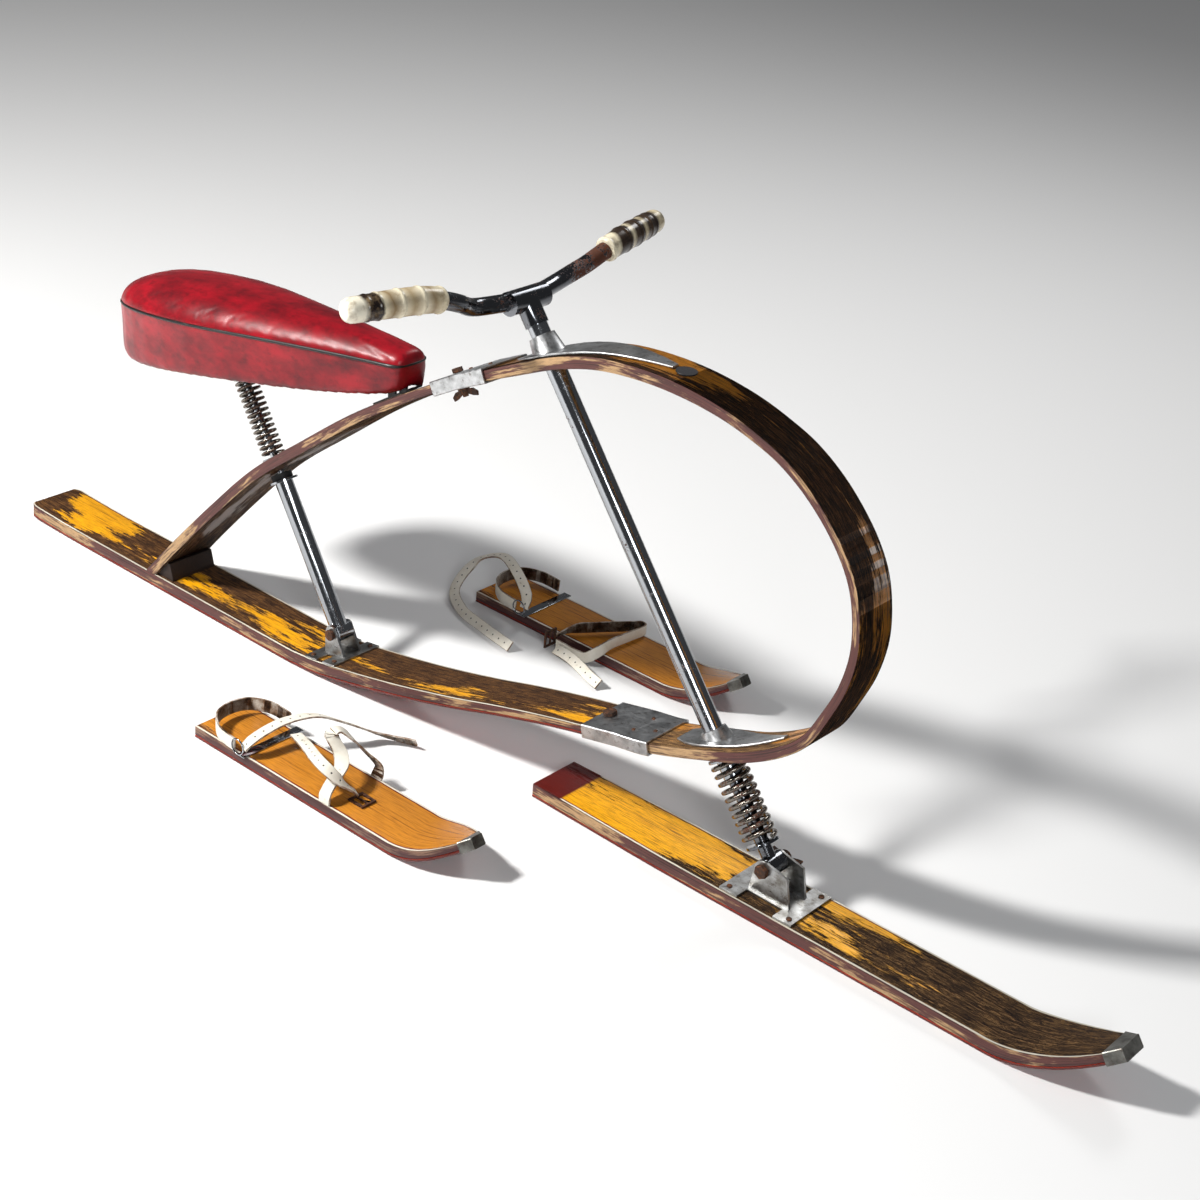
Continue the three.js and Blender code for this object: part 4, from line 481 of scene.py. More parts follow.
def strap_leather(name, code="#E2DBCB", dark="#6E5A45", soiled=0.36, pitch=0.0):
    """Whitened strap leather, cracked and brown along its edges, punched at the pitch if it has one, each
    hole a dark spot of painted shade.
    """
    s = Surface(name)
    place = s.place()
    far, across = s.run()
    crack = height = s.noise(place, 320, 6, 0.75)
    cloud = s.noise(place, 60, 6, 0.7)
    colour = s.ramp(cloud, (soiled - 0.1, dark), (soiled, code), (0.8, "#F0ECE2"))
    colour = s.mix(s.ramp(crack, (0.62, 0), (0.74, 0.5)), colour, dark)
    rubbed = s.plus(s.math("ABSOLUTE", across), s.times(s.minus(crack, 0.5), 0.2))
    colour = s.mix(s.ramp(rubbed, (0.9, 0), (0.98, 0.7)), colour, dark)
    if pitch:
        # Each hole is a round dark spot in the middle of its own stretch of strap: painted shade inside the
        # hole, with a dent in the bump.
        step = s.minus(s.math("FRACT", s.math("DIVIDE", far, pitch)), 0.5)
        away = s.span("LENGTH", {0: s.flat(s.times(step, pitch), across, 0.0082)})
        shaded_hole = s.ramp(s.times(away, 400), (0.44, 1), (0.56, 0))
        colour = s.mix(shaded_hole, colour, "#1E1610")
        height = s.minus(crack, s.times(shaded_hole, 2))
    return s.finish(colour, 0.62, height, 0.35, 0.0004)


def marbled_grip(name, stops, shade):
    """Celluloid in bands of cream and brown along the bar, marbled into each other."""
    s = Surface(name)
    place = s.place()
    reach = s.math("ABSOLUTE", s.node("ShaderNodeSeparateXYZ", {"Vector": place}).outputs["Y"])
    swirl = s.noise(place, 70, 6, 0.62)
    share = s.math("DIVIDE", s.minus(reach, GRIP_INNER), GRIP_SPAN)
    share = s.plus(share, s.times(s.minus(swirl, 0.5), 0.06))
    colour = s.mix(s.ramp(swirl, (0.5, 0), (0.72, 0.75)), s.ramp(share, *stops), shade)
    return s.finish(colour, 0.25, swirl, 0.1, 0.0003)


LOOKS = {}
# How far out the grips begin and how long they are, across the bike.
GRIP_INNER = 0.14
GRIP_SPAN = 0.1304


def make_looks():
    LOOKS.update({
        "rear_top": varnished_top(
            "Varnished rear ski", "#F0A80F", "#CB830C", "#7E5630", "#22130C", 0.7, 0.3, length=1.2,
            along=((0, 0.8), (0.03, 0.6), (0.09, 0.46), (0.16, 0.64), (0.3, 0.47), (0.4, 0.62), (0.54, 0.46),
                   (0.66, 0.68), (0.84, 0.62), (0.95, 0.47)), scuff=0.65),
        "front_top": varnished_top(
            "Varnished front ski", "#F2AC12", "#CF8A10", "#AC8252", "#150B07", 0.745, 4.1, length=0.85,
            along=((0, 0.35), (0.3, 0.4), (0.42, 0.56), (0.56, 0.5), (0.66, 0.75), (0.75, 0.95), (1, 1)),
            scuff=0.85, band=0.055, pale=0.022),
        "stay_top": varnished_top(
            "Varnished stay", "#8A5A30", "#5A3420", "#A88460", "#2E1812", 0.64, 7.7, lines=False, gloss=0.4),
        "loop_out": varnished_top(
            "Weathered loop", "#E09022", "#8E5A1E", "#8A5A34", "#160D08", 0.69, 2.2, lines=False,
            gloss=0.34, length=1.62, scuff=0.75, pale=0.035,
            along=((0, 0.5), (0.15, 0.62), (0.45, 0.6), (0.52, 0.5), (0.57, 0.36), (0.7, 0.34), (0.78, 0.5),
                   (0.84, 0.3), (1, 0.4))),
        "loop_in": varnished_top(
            "Loop's inner face", "#D08A30", "#7A4E28", "#B08858", "#2C1A14", 0.68, 5.2, lines=False,
            gloss=0.42, length=1.62, along=((0, 0.4), (0.12, 0.5), (1, 0.55)), scuff=0.5),
        "foot_top": varnished_top(
            "Varnished foot ski", "#CC842A", "#AC6A20", "#8F6238", "#4A2C18", 0.86, 1.3, gloss=0.26,
            length=0.48, along=((0, 0.62), (0.12, 0.5), (0.7, 0.45), (1, 0.72)), scuff=0.5),
        "side": laminated_side("Maroon laminated side", "#5C322D", "#B8946A", "#2C1513", 0.7),
        "side_foot": laminated_side("Maroon foot ski side", "#542C2A", "#8A6A56", "#2E1817", 3.7),
        "sole": plain_sole("Red running surface", "#C8321A", "#8C1D10", "#D6553A"),
        "sole_edge": plain_sole("Worn edge of the running surface", "#571E18", "#34120F", "#7A2E22"),
        "chrome": old_chrome("Pitted chromium plate", "#9FA2A6"),
        # The bar, its stem and the fork rod get a much darker plate. This is painted shade for the dark
        # surroundings that the bar reflects and for the shade inside the front spring. The rust patch on the
        # far arm is real.
        "chrome_dark": old_chrome(
            "Bar's worn chromium plate", "#6A6C70", 0.7, 0.1, stain=((0.66, 0.15, 0.64), 0.08)),
        "spring": old_chrome("Spring steel, its plate half gone", "#7C766E", 0.64, 0.14),
        "aluminium": worn_aluminium("Worn aluminium"),
        "bracket": worn_aluminium("Bracket plate, stained", "#B6B7B7", 0.34, "#77736C"),
        "cap": worn_aluminium("Dull tip plate", "#8A8984", 0.42, "#4A4843"),
        "rust": rusty_iron("Rusty iron"),
        "black": black_paint("Chipped black paint"),
        "rubber": black_paint("Black rubber", "#101012", 0.6),
        "dark_wood": dark_wood("Stained hardwood"),
        "leather": red_leather("Red leathercloth"),
        "piping": black_paint("Black piping", "#100D0E", 0.38),
        "strap": strap_leather("Whitened strap leather"),
        "strap_punched": strap_leather("Punched strap leather", pitch=0.014),
        "strap_back": strap_leather("Bare strap leather", "#7A5B40", "#3A281C", 0.45),
        "grip_near": marbled_grip("Cream celluloid", (
            (0, "#E6DDC4"), (0.1, "#D8CCAE"), (0.2, "#9C8766"), (0.29, "#E2D8BE"), (0.42, "#B09C7A"),
            (0.52, "#E2D8BE"), (0.62, "#8C7656"), (0.7, "#DDD2B6"), (0.73, "#1A120E"), (0.85, "#241812"),
            (0.89, "#E9E2CE"), (1, "#E9E2CE")), "#8A7454"),
        "grip_far": marbled_grip("Dark celluloid", (
            (0, "#E6DDC4"), (0.12, "#DDD2B6"), (0.16, "#33261C"), (0.32, "#241A14"), (0.36, "#D8CCAE"),
            (0.42, "#3A2C20"), (0.56, "#2A1E16"), (0.6, "#CDBF9E"), (0.66, "#3A2C20"), (0.84, "#241A14"),
            (0.9, "#CDBF9E"), (1, "#DDD2B6")), "#5A4632"),
    })


# ---- ribbons of wood

BEND = Line([(a, 0, b) for a, b in zip(BEND_PLACES, BEND_RISES)], 40)


def rear_underside(x):
    """How high the rear ski's underside lies."""
    if x < TAIL_FLAT:
        return TAIL_RISE * ((TAIL_FLAT - x) / (TAIL_FLAT - REAR_TAIL)) ** 2
    if x <= BEND_START:
        return 0.0
    share = (x - BEND_START) / BEND_REACH
    i = bisect_right(BEND.samples, share, key=lambda sample: sample.x)
    low, high = BEND.samples[i - 1], BEND.samples[i]
    return BEND_RISE * low.lerp(high, (share - low.x) / (high.x - low.x)).z


def rear_width(x):
    share = max(0.0, (x - BEND_START) / BEND_REACH)
    rounding = min(1.0, (x - REAR_TAIL) / 0.014)
    return (SKI_WIDTH + (SPLICE_WIDTH - SKI_WIDTH) * share) * blend((0.86, 0.97, 1), rounding)


def rear_wood(x):
    share = ease(max(0.0, min(1.0, (x - BEND_START) / BEND_REACH)))
    return WOOD + (SPLICE_WOOD - SOLE - GAP - WOOD) * share


def tipped(tail_x, tip_x, reach, rise, width, wood, tip_shares, tail_share, taper):
    """A flat ski whose tip curves up over its reach, and whose tail is narrower over the taper."""
    flat_end = tip_x - reach

    def part(x):
        return max(0.0, (x - flat_end) / reach)

    return {
        "places": spread(tail_x, tail_x + taper, 6) + spread(tail_x + taper + 0.01, flat_end - 0.01, 10)
        + spread(flat_end, tip_x, 22),
        "height": lambda x: rise * part(x) ** 1.6,
        "width": lambda x: width * blend(tip_shares, part(x))
        * (tail_share + (1 - tail_share) * min(1.0, (x - tail_x) / taper)),
        "wood": lambda x: wood * (1 - 0.4 * ease(min(1.0, part(x)))),
    }


def layer_run(ski, lift, thickness, shift):
    """Frames of one layer of a ski, with their lengths along it."""
    frames, lengths = [], []
    last = None
    step = 0.0005
    for x in ski["places"]:
        tangent = Vector((step, 0, ski["height"](x) - ski["height"](x - step))).normalized()
        up = Vector((-tangent.z, 0, tangent.x))
        t = thickness(x)
        centre = Vector((x, 0, ski["height"](x))) + up * (lift + t / 2) + shift
        lengths.append(lengths[-1] + (centre - last).length if lengths else 0.0)
        last = centre
        frames.append(frame_at(centre, ACROSS, up, tangent, ski["width"](x), t))
    return frames, lengths


def ribbon_piece(name, run, looks, body, node, edge):
    """A plank of rectangular section. Its UV runs along it, and from -1 to 1 across each face."""
    frames, lengths = run
    bm = bmesh.new()
    for layer in ("across", "over", "length"):
        bm.verts.layers.float.new(layer)
    uv = bm.loops.layers.uv.new("Run")
    across, over, length = [bm.verts.layers.float[layer] for layer in ("across", "over", "length")]
    grid = bmesh.ops.create_grid(bm, x_segments=1, y_segments=1, size=0.5)
    for v in grid["verts"]:
        v[across], v[over], v[length] = v.co.x * 2, v.co.y * 2, lengths[0]
    sweep(bm, grid["verts"][0].link_faces[0], frames, lengths)
    bmesh.ops.recalc_face_normals(bm, faces=bm.faces)
    for face in bm.faces:
        overs = {round(v[over]) for v in face.verts}
        kind = 0 if overs == {1} else 1 if overs == {-1} else 2
        face.material_index = kind
        for loop in face.loops:
            v = loop.vert
            loop[uv].uv = (v[length], v[over] if kind == 2 else v[across])
    if edge:
        sharp = [e for e in bm.edges if len(e.link_faces) == 2 and e.calc_face_angle(0) > math.radians(50)]
        bmesh.ops.bevel(bm, geom=sharp, offset=edge, segments=2, profile=0.5, affect="EDGES", material=-1)
    return settle(name, bm, looks, body, node)


def lay_ski(name, node, ski, looks, body, shift=Vector((0, 0, 0))):
    """A ski: its plank, and the red running surface under it."""
    run = layer_run(ski, SOLE + GAP, ski["wood"], shift)
    ribbon_piece(name + "_wood", run, looks, body, node, bpy.context.scene.skibike_sizes.edge)
    run = layer_run(ski, 0, lambda x: SOLE, shift)
    looks = ("sole", "sole", "sole_edge")
    ribbon_piece(name + "_running", run, looks, body, node + "_sole", THIN_EDGE)


class SKIBIKE_PG_sizes(bpy.types.PropertyGroup):
    """Sizes and colours that a user would change."""
    edge: bpy.props.FloatProperty(
        name="Wood edge", description="Rounding of the wood's long edges", default=0.0012, unit="LENGTH")
    spring_sides: bpy.props.IntProperty(
        name="Spring sides", description="Sides of the springs' wire", default=12, min=5)
    floor_tone: bpy.props.FloatVectorProperty(
        name="Floor", description="Colour of the floor", subtype="COLOR", size=3, default=(0.86, 0.86, 0.86))


CAMERA_PLACE = (2.2956, -1.8675, 1.5605)
CAMERA_TURN = [math.radians(angle) for angle in (38.56, 27.92, 5.37)]
CAMERA_LENS = 66
FLOOR_HALF = 30
# Each lamp's name, place, target, size in metres, watts and colour.
LAMPS = (
    ("Key", (-1.0, -2.0, 2.8), (0.6, 0, 0.2), 0.4, 200, (1, 0.99, 0.97)),
    ("Fill", (3.4, -2.2, 2.0), (0.6, 0, 0.3), 1.0, 42, (0.96, 0.98, 1)),
    ("Back", (0.2, 2.6, 2.6), (0.6, 0, 0.3), 1.0, 24, (1, 1, 1)),
)


class SKIBIKE_OT_stage(bpy.types.Operator):
    """Camera, floor and soft lamps"""
    bl_idname = "skibike.stage"
    bl_label = "Stage"

    def execute(self, context):
        scene = context.scene
        scene.view_settings.view_transform = "Standard"
        yaw, pitch, roll = CAMERA_TURN
        level = Vector((math.cos(yaw), math.sin(yaw), 0))
        ahead = Vector((-level.y * math.cos(pitch), level.x * math.cos(pitch), -math.sin(pitch)))
        above = level.cross(ahead)
        right = level * math.cos(roll) + above * math.sin(roll)
        up = above * math.cos(roll) - level * math.sin(roll)
        camera = bpy.data.objects.new("Camera", bpy.data.cameras.new("Camera"))
        camera.data.sensor_width = 36
        camera.data.lens = CAMERA_LENS
        camera.data.clip_end = 100
        camera.matrix_world = frame_at(CAMERA_PLACE, right, up, -ahead)
        scene.collection.objects.link(camera)
        scene.camera = camera
        mesh = bpy.data.meshes.new("Floor")
        corners = [(a * FLOOR_HALF, b * FLOOR_HALF, -0.0002) for a, b in ((-1, -1), (1, -1), (1, 1), (-1, 1))]
        mesh.from_pydata(corners, [], [(0, 1, 2, 3)])
        floor = bpy.data.objects.new("Floor", mesh)
        scene.collection.objects.link(floor)
        tone = list(scene.skibike_sizes.floor_tone) + [1]
        surface = Surface("Pale floor")
        surface.fill(surface.shader, {"Base Color": tone, "Roughness": 0.9, "Specular IOR Level": 0.1})
        mesh.materials.append(surface.mat)
        world = bpy.data.worlds.new("Studio")
        scene.world = world
        world.use_nodes = True
        sky = world.node_tree.nodes["Background"].inputs
        sky["Color"].default_value = (0.55, 0.56, 0.58, 1)
        sky["Strength"].default_value = 0.17
        for name, place, target, size, power, colour in LAMPS:
            lamp = bpy.data.lights.new(name, "AREA")
            lamp.size, lamp.energy, lamp.color = size, power, colour
            obj = bpy.data.objects.new(name, lamp)
            obj.location = place
            obj.rotation_euler = (Vector(target) - Vector(place)).to_track_quat("-Z", "Y").to_euler()
            scene.collection.objects.link(obj)
        return {"FINISHED"}


class SKIBIKE_OT_skis(bpy.types.Operator):
    """Rear ski and front ski, each a plank on its red running surface"""
    bl_idname = "skibike.skis"
    bl_label = "Skis"

    def execute(self, context):
        rear = {
            "places": [REAR_TAIL, -0.293] + spread(-0.286, TAIL_FLAT, 8) + spread(-0.1, 0.28, 8)
            + spread(BEND_START, 0.882, 60),
            "height": rear_underside, "width": rear_width, "wood": rear_wood,
        }
        lay_ski("rear_ski", "rear_ski", rear, ("rear_top", "side", "side"), "frame")
        front = tipped(
            tail_x=0.757, tip_x=1.599, reach=0.148, rise=0.066, width=SKI_WIDTH, wood=WOOD,
            tip_shares=(1, 1, 0.99, 0.95, 0.88, 0.77, 0.62, 0.38), tail_share=0.89, taper=0.21)
        lay_ski("front_ski", "front_ski", front, ("front_top", "side", "side"), "front_ski_set")
        return {"FINISHED"}


def loop_line():
    x, z = LOWER_JOINT
    return Line([(x + LOOP_REACH * a, 0, z + LOOP_RISE * b) for a, b in LOOP_SHARES])


def stay_line():
    x, z = STAY_FOOT
    end_x = LOWER_JOINT[0] + LOOP_REACH * LOOP_SHARES[-1][0]
    end_z = LOWER_JOINT[1] + LOOP_RISE * LOOP_SHARES[-1][1]
    return Line([(x + (end_x - x) * a, 0, z + (end_z - z) * b) for a, b in STAY_SHARES])


def plane_run(line, shares, width, thickness):
    """Frames along a line in the bike's centre plane, with their lengths along it."""
    frames = []
    for share in shares:
        tangent = line.tangent(share)
        up = Vector((-tangent.z, 0, tangent.x))
        frames.append(frame_at(line.at(share), ACROSS, up, tangent, width(share), thickness(share)))
    return frames, [share * line.length for share in shares]


def loop_width(share):
    return SPLICE_WIDTH + (LOOP_WIDTH - SPLICE_WIDTH) * ease(math.sin(math.pi * share))


def loop_thickness(share):
    return LOOP_WOOD * blend(LOOP_THICKNESS, share)


def stay_width(share):
    return SKI_WIDTH + (SPLICE_WIDTH - SKI_WIDTH) * share


def stay_thickness(share):
    return STAY_WOOD + (SPLICE_WOOD - STAY_WOOD) * ease(max(0.0, (share - 0.6) / 0.4))


class SKIBIKE_OT_frame(bpy.types.Operator):
    """The loop and the stay, bent from laminated wood, and the block at the stay's foot"""
    bl_idname = "skibike.frame"
    bl_label = "Loop and stay"

    def execute(self, context):
        edge = context.scene.skibike_sizes.edge
        line = loop_line()
        end = CUT_BACK / line.length
        run = plane_run(line, spread(end, 1 - end, 150), loop_width, loop_thickness)
        ribbon_piece("loop_wood", run, ("loop_in", "loop_out", "side"), "frame", "loop_frame", edge)
        line = stay_line()
        shares = spread(0, 1 - CUT_BACK / line.length, 60)
        frames, lengths = plane_run(line, shares, stay_width, stay_thickness)
        # The stay's foot is run on into the ski, and then cut level just above the ski's top.
        sunk = 0.015
        first = frames[0].copy()
        first.translation = first.translation - Vector(first.col[2][:3]) * sunk
        piece = ribbon_piece(
            "stay_wood", ([first] + frames, [-sunk] + lengths), ("stay_top", "stay_top", "side"), "frame",
            "rear_stay", edge)
        bm = bmesh.new()
        bm.from_mesh(piece.data)
        bmesh.ops.bisect_plane(
            bm, geom=bm.verts[:] + bm.edges[:] + bm.faces[:], plane_co=(0, 0, 0.0203), plane_no=(0, 0, -1),
            clear_outer=True)
        bmesh.ops.holes_fill(bm, edges=[e for e in bm.edges if e.is_boundary])
        bm.to_mesh(piece.data)
        bm.free()
        settle("stay_block", copied("stay_foot_block"), "dark_wood", "frame", "stay_foot_block")
        return {"FINISHED"}


BODIES = frame["record"]["behaviour"]["bodies"]
BODY_OF = {node: body for body, members in BODIES.items() for node in members}
RIVETED = ("lower_sleeve", "upper_sleeve", "rear_bracket", "front_bracket")

# CAD solids whose shape is right: a merged copy of each gets a real finish, and rounded edges
# of this width in millimetres.
ROUNDED = {
    "aluminium": {"lower_sleeve": 1.2, "upper_sleeve": 1.2, "upper_lug": 0.9, "lower_lug": 0.9},
    "bracket": {"rear_bracket": 0.7, "front_bracket": 0.7},
    "cap": {"front_tip_cap": 0.6, "right_foot_tip_cap": 0.5, "left_foot_tip_cap": 0.5},
    "rust": {
        "lower_sleeve_bolt": 0.8, "upper_sleeve_bolt": 0.8, "front_bracket_bolt": 0.8,
        "lower_sleeve_wing_nut": 0.7, "upper_sleeve_wing_nut": 0.7, "front_wing_nut": 0.7,
        "rear_bracket_pin": 0.6, "seat_hinge_pin": 0.4, "right_toe_buckle": 0.4, "left_toe_buckle": 0.4,
    },
    "black": {"seat_clip": 0.6, "seat_hinge_bracket": 0.6, "seat_hinge_leaf": 0.5, "badge": 0.5},
    "dark_wood": {"seat_base": 0.8},
    "chrome": {
        "seat_tube": 0.6, "seat_rod": 0.4, "steering_tube": 0.4, "rear_spring_washer": 0.5,
        "steering_washer": 0.5,
    },
    "rubber": {"seat_tube_bush": 0.6},
    # A darker plate as painted shade.
    "chrome_dark": {"handlebar_stem": 1, "fork_rod": 0.6},
}


def mark_heads(bm, largest=1.2e-4):
    """Gives a plate's round rivet heads, up to this area, the piece's second material."""
    bmesh.ops.dissolve_limit(bm, angle_limit=math.radians(1), verts=bm.verts, edges=bm.edges)
    heads = [face for face in bm.faces if len(face.verts) >= 8 and face.calc_area() < largest]
    for head in heads:
        for near in {face for edge in head.edges for face in edge.link_faces}:
            near.material_index = 1


class SKIBIKE_OT_fittings(bpy.types.Operator):
    """Sleeves, lugs, brackets, bolts, nuts and tubes"""
    bl_idname = "skibike.fittings"
    bl_label = "Metal fittings"

    def execute(self, context):
        for look, widths in ROUNDED.items():
            for node, width in widths.items():
                bm = copied(node)
                looks = [look]
                if node in RIVETED:
                    mark_heads(bm)
                    looks.append("rust")
                piece = settle(node + "_finished", bm, looks, BODY_OF[node], node, 28)
                bevelled(piece, width / 1000)
        return {"FINISHED"}


# ---- springs, bar and grips

COIL_STEPS = 24
STEER_AXIS = Vector((-0.61849, 0, 0.78579))
STEER_ORIGIN = Vector((1.109, 0, 0.0577))
POST_AXIS = Vector((-0.5475, 0, 0.8368))
POST_ORIGIN = Vector((0.35155, 0, 0.05805))


def coil(name, node, origin, axis, wire, turns, ends):
    """A coil spring wound to the length and radius that its CAD node has along its axis."""
    apart = [v.co - origin for v in NODES[node].data.vertices]
    along = [v.dot(axis) for v in apart]
    away = [(v - axis * v.dot(axis)).length for v in apart]
    foot, length, radius = min(along), max(along) - min(along), max(away) - wire / 2
    side = Vector((axis.z, 0, -axis.x))
    over = axis.cross(side)
    count = turns * COIL_STEPS
    outs = [side * math.cos(a) + over * math.sin(a) for a in spread(0, 2 * math.pi * turns, count)]
    rises = spread(foot + wire / 2, foot + length - wire / 2, count)
    points = [origin + axis * rise + out * radius for rise, out in zip(rises, outs)]
    frames = []
    for i, (point, out) in enumerate(zip(points, outs)):
        tangent = (points[min(i + 1, count)] - points[max(i - 1, 0)]).normalized()
        up = tangent.cross(out).normalized()
        frames.append(frame_at(point, up.cross(tangent), up, tangent))
    bm = bmesh.new()
    sweep(bm, round_face(bm, wire / 2, bpy.context.scene.skibike_sizes.spring_sides), frames)
    piece = settle(name, bm, "spring", None, node)
    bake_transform(piece, ends[0], ends[1], start=origin + axis * (foot + length), end=origin + axis * foot)


class SKIBIKE_OT_springs(bpy.types.Operator):
    """The two coil springs"""
    bl_idname = "skibike.springs"
    bl_label = "Springs"

    def execute(self, context):
        coil("front_coil", "front_spring", STEER_ORIGIN, STEER_AXIS, 0.006, 10, ("steering", "fork"))
        coil("rear_coil", "rear_spring", POST_ORIGIN, POST_AXIS, 0.0042, 16, ("rod", "frame"))
        return {"FINISHED"}


# The bar's half to one side, as shares of how far out, up and back it goes.
BAR_SHARES = (
    (0, 0, 0), (0.14, 0, 0.3), (0.285, 0.05, 0.6), (0.36, 0.25, 0.45), (0.42, 0.46, 0.22), (0.55, 0.79, 0.12),
    (0.65, 0.93, 0.2), (0.8, 0.99, 0.5), (1, 1, 1),
)
BAR_PLACE = 0.74
BAR_OUT = 0.262
BAR_UP = 0.038
BAR_BACK = 0.025
BAR_RADIUS = 0.011
GRIP_START = 0.78
GRIP_RINGS = (0.03, 0.26, 0.47, 0.68, 0.79)


def bar_line():
    middle = STEER_ORIGIN + STEER_AXIS * BAR_PLACE

    def half(side):
        return [middle + Vector((-c * BAR_BACK, side * a * BAR_OUT, b * BAR_UP)) for a, b, c in BAR_SHARES]

    return Line(list(reversed(half(-1))) + half(1)[1:])


def grip_radius(share):
    """A grip's radius from its open end to its rounded outer end: swells between raised rings."""
    swell = 0.0152 + 0.0012 * math.sin(math.pi * min(share / 0.8, 1))
    ring = sum(math.exp(-((share - at) / 0.018) ** 2) for at in GRIP_RINGS)
    end = 1 - max(0.0, (share - 0.9) / 0.1) ** 3 * 0.34
    return (swell + 0.0011 * ring) * end


class SKIBIKE_OT_bar(bpy.types.Operator):
    """The handlebar and its two grips"""
    bl_idname = "skibike.bar"
    bl_label = "Handlebar"

    def execute(self, context):
        line = bar_line()
        bm = bmesh.new()
        sweep(bm, round_face(bm, BAR_RADIUS, 32), rod_frames(line, 96))
        settle("bar_tube", bm, "chrome_dark", "steering", "handlebar")
        for side, name, node in ((-1, "near", "grip_right"), (1, "far", "grip_left")):
            points = [line.at(s) for s in spread(GRIP_START, 1, 12)]
            points = [Vector((p.x, side * p.y, p.z)) for p in points]
            points.append(points[-1] + (points[-1] - points[-2]).normalized() * 0.011)
            bm = bmesh.new()
            sweep(bm, round_face(bm, 1, 40), rod_frames(Line(points), 90, grip_radius))
            piece = settle(name + "_grip", bm, "grip_" + name, "steering", node)
            bevelled(piece, 0.0025, 4)
        return {"FINISHED"}


# ---- saddle

def baked(piece):
    """Applies the modifiers of a piece to its mesh."""
    graph = bpy.context.evaluated_depsgraph_get()
    mesh = bpy.data.meshes.new_from_object(piece.evaluated_get(graph))
    piece.modifiers.clear()
    piece.data = mesh


def plumped(piece, held, cap, last=20):
    """Blows the piece up a little as cloth, and then keeps every point within the cap."""
    scene = bpy.context.scene
    before = [v.co.copy() for v in piece.data.vertices]
    group = piece.vertex_groups.new(name="held")
    group.add([v.index for v in piece.data.vertices if held(v)], 1.0, "REPLACE")
    mod = piece.modifiers.new("cloth", "CLOTH")
    mod.settings.vertex_group_mass = "held"
    mod.settings.use_pressure = True
    mod.settings.uniform_pressure_force = 4
    mod.settings.effector_weights.gravity = 0
    mod.settings.quality = 4
    mod.point_cache.frame_start = 1
    mod.point_cache.frame_end = last
    for number in range(1, last + 1):
        scene.frame_set(number)
    baked(piece)
    scene.frame_set(1)
    for v, start in zip(piece.data.vertices, before):
        step = v.co - start
        if step.length > cap:
            v.co = start + step.normalized() * cap


SEAT_REAR = -0.072
SEAT_LENGTH = 0.54
# The hem starts to hang lower here, and is lowest this much further on.
HEM_START = 0.12
HEM_REACH = 0.28
HEM_DROP = 0.15
HINGE_HALF = 0.022
PUFF = 0.003


def piping_height(x):
    share = (x - SEAT_REAR) / SEAT_LENGTH
    return 0.429 + 0.068 * share + 0.028 * share * (1 - share)


class SKIBIKE_OT_saddle(bpy.types.Operator):
    """The stuffed saddle with its piping"""
    bl_idname = "skibike.saddle"
    bl_label = "Saddle"

    def execute(self, context):
        bm = copied("seat_cushion")
        piece = settle("saddle_cover", bm, "leather", "seat", "seat_cushion")
        bevelled(piece, 0.007, 4, use_clamp_overlap=False)
        modified(piece, "even", "REMESH", mode="VOXEL", voxel_size=0.004)
        baked(piece)
        modified(piece, "soften", "SMOOTH", factor=0.5, iterations=6)
        # What the rounding of the corners takes away.
        modified(piece, "fill", "DISPLACE", strength=0.0032, mid_level=0)
        baked(piece)
        # The cover's hem hangs lower toward the nose, but not over the hinge in its middle.
        for v in piece.data.vertices:
            depth = max(0.0, piping_height(v.co.x) - v.co.z) * min(1, abs(v.co.y) / HINGE_HALF)
            v.co.z -= HEM_DROP * depth * ease(min(1, max(0.0, (v.co.x - HEM_START) / HEM_REACH)))
        plumped(piece, lambda v: v.co.z < piping_height(v.co.x) + PUFF, PUFF)
        for poly in piece.data.polygons:
            poly.use_smooth = True
        modified(piece, "round", "SUBSURF", levels=1, render_levels=1)
        bead = settle("saddle_bead", copied("seat_piping"), "piping", "seat", "seat_piping", 180)
        modified(bead, "round", "SUBSURF", levels=2, render_levels=2)
        return {"FINISHED"}


# ---- foot skis

FOOT_LENGTH = 0.472
FOOT_WIDTH = 0.092
FOOT_TOP = SOLE + GAP + FOOT_WOOD
STRAP = 0.0026
STRAP_WIDTH = 0.019
STRAP_HALF = FOOT_WIDTH / 2 + 0.0004 + STRAP / 2
HEEL_X = 0.082
RING = 0.011
RING_WIRE = 0.0022
HEEL_SHARES = ((0, 1, 0), (-0.25, 1, 0.2), (-0.55, 0.93, 0.5), (-0.9, 0.55, 0.9), (-1, 0, 1))
FOOT_PLACES = {"right": (0.363, -0.223, 0), "left": (0.341, 0.333, 0)}
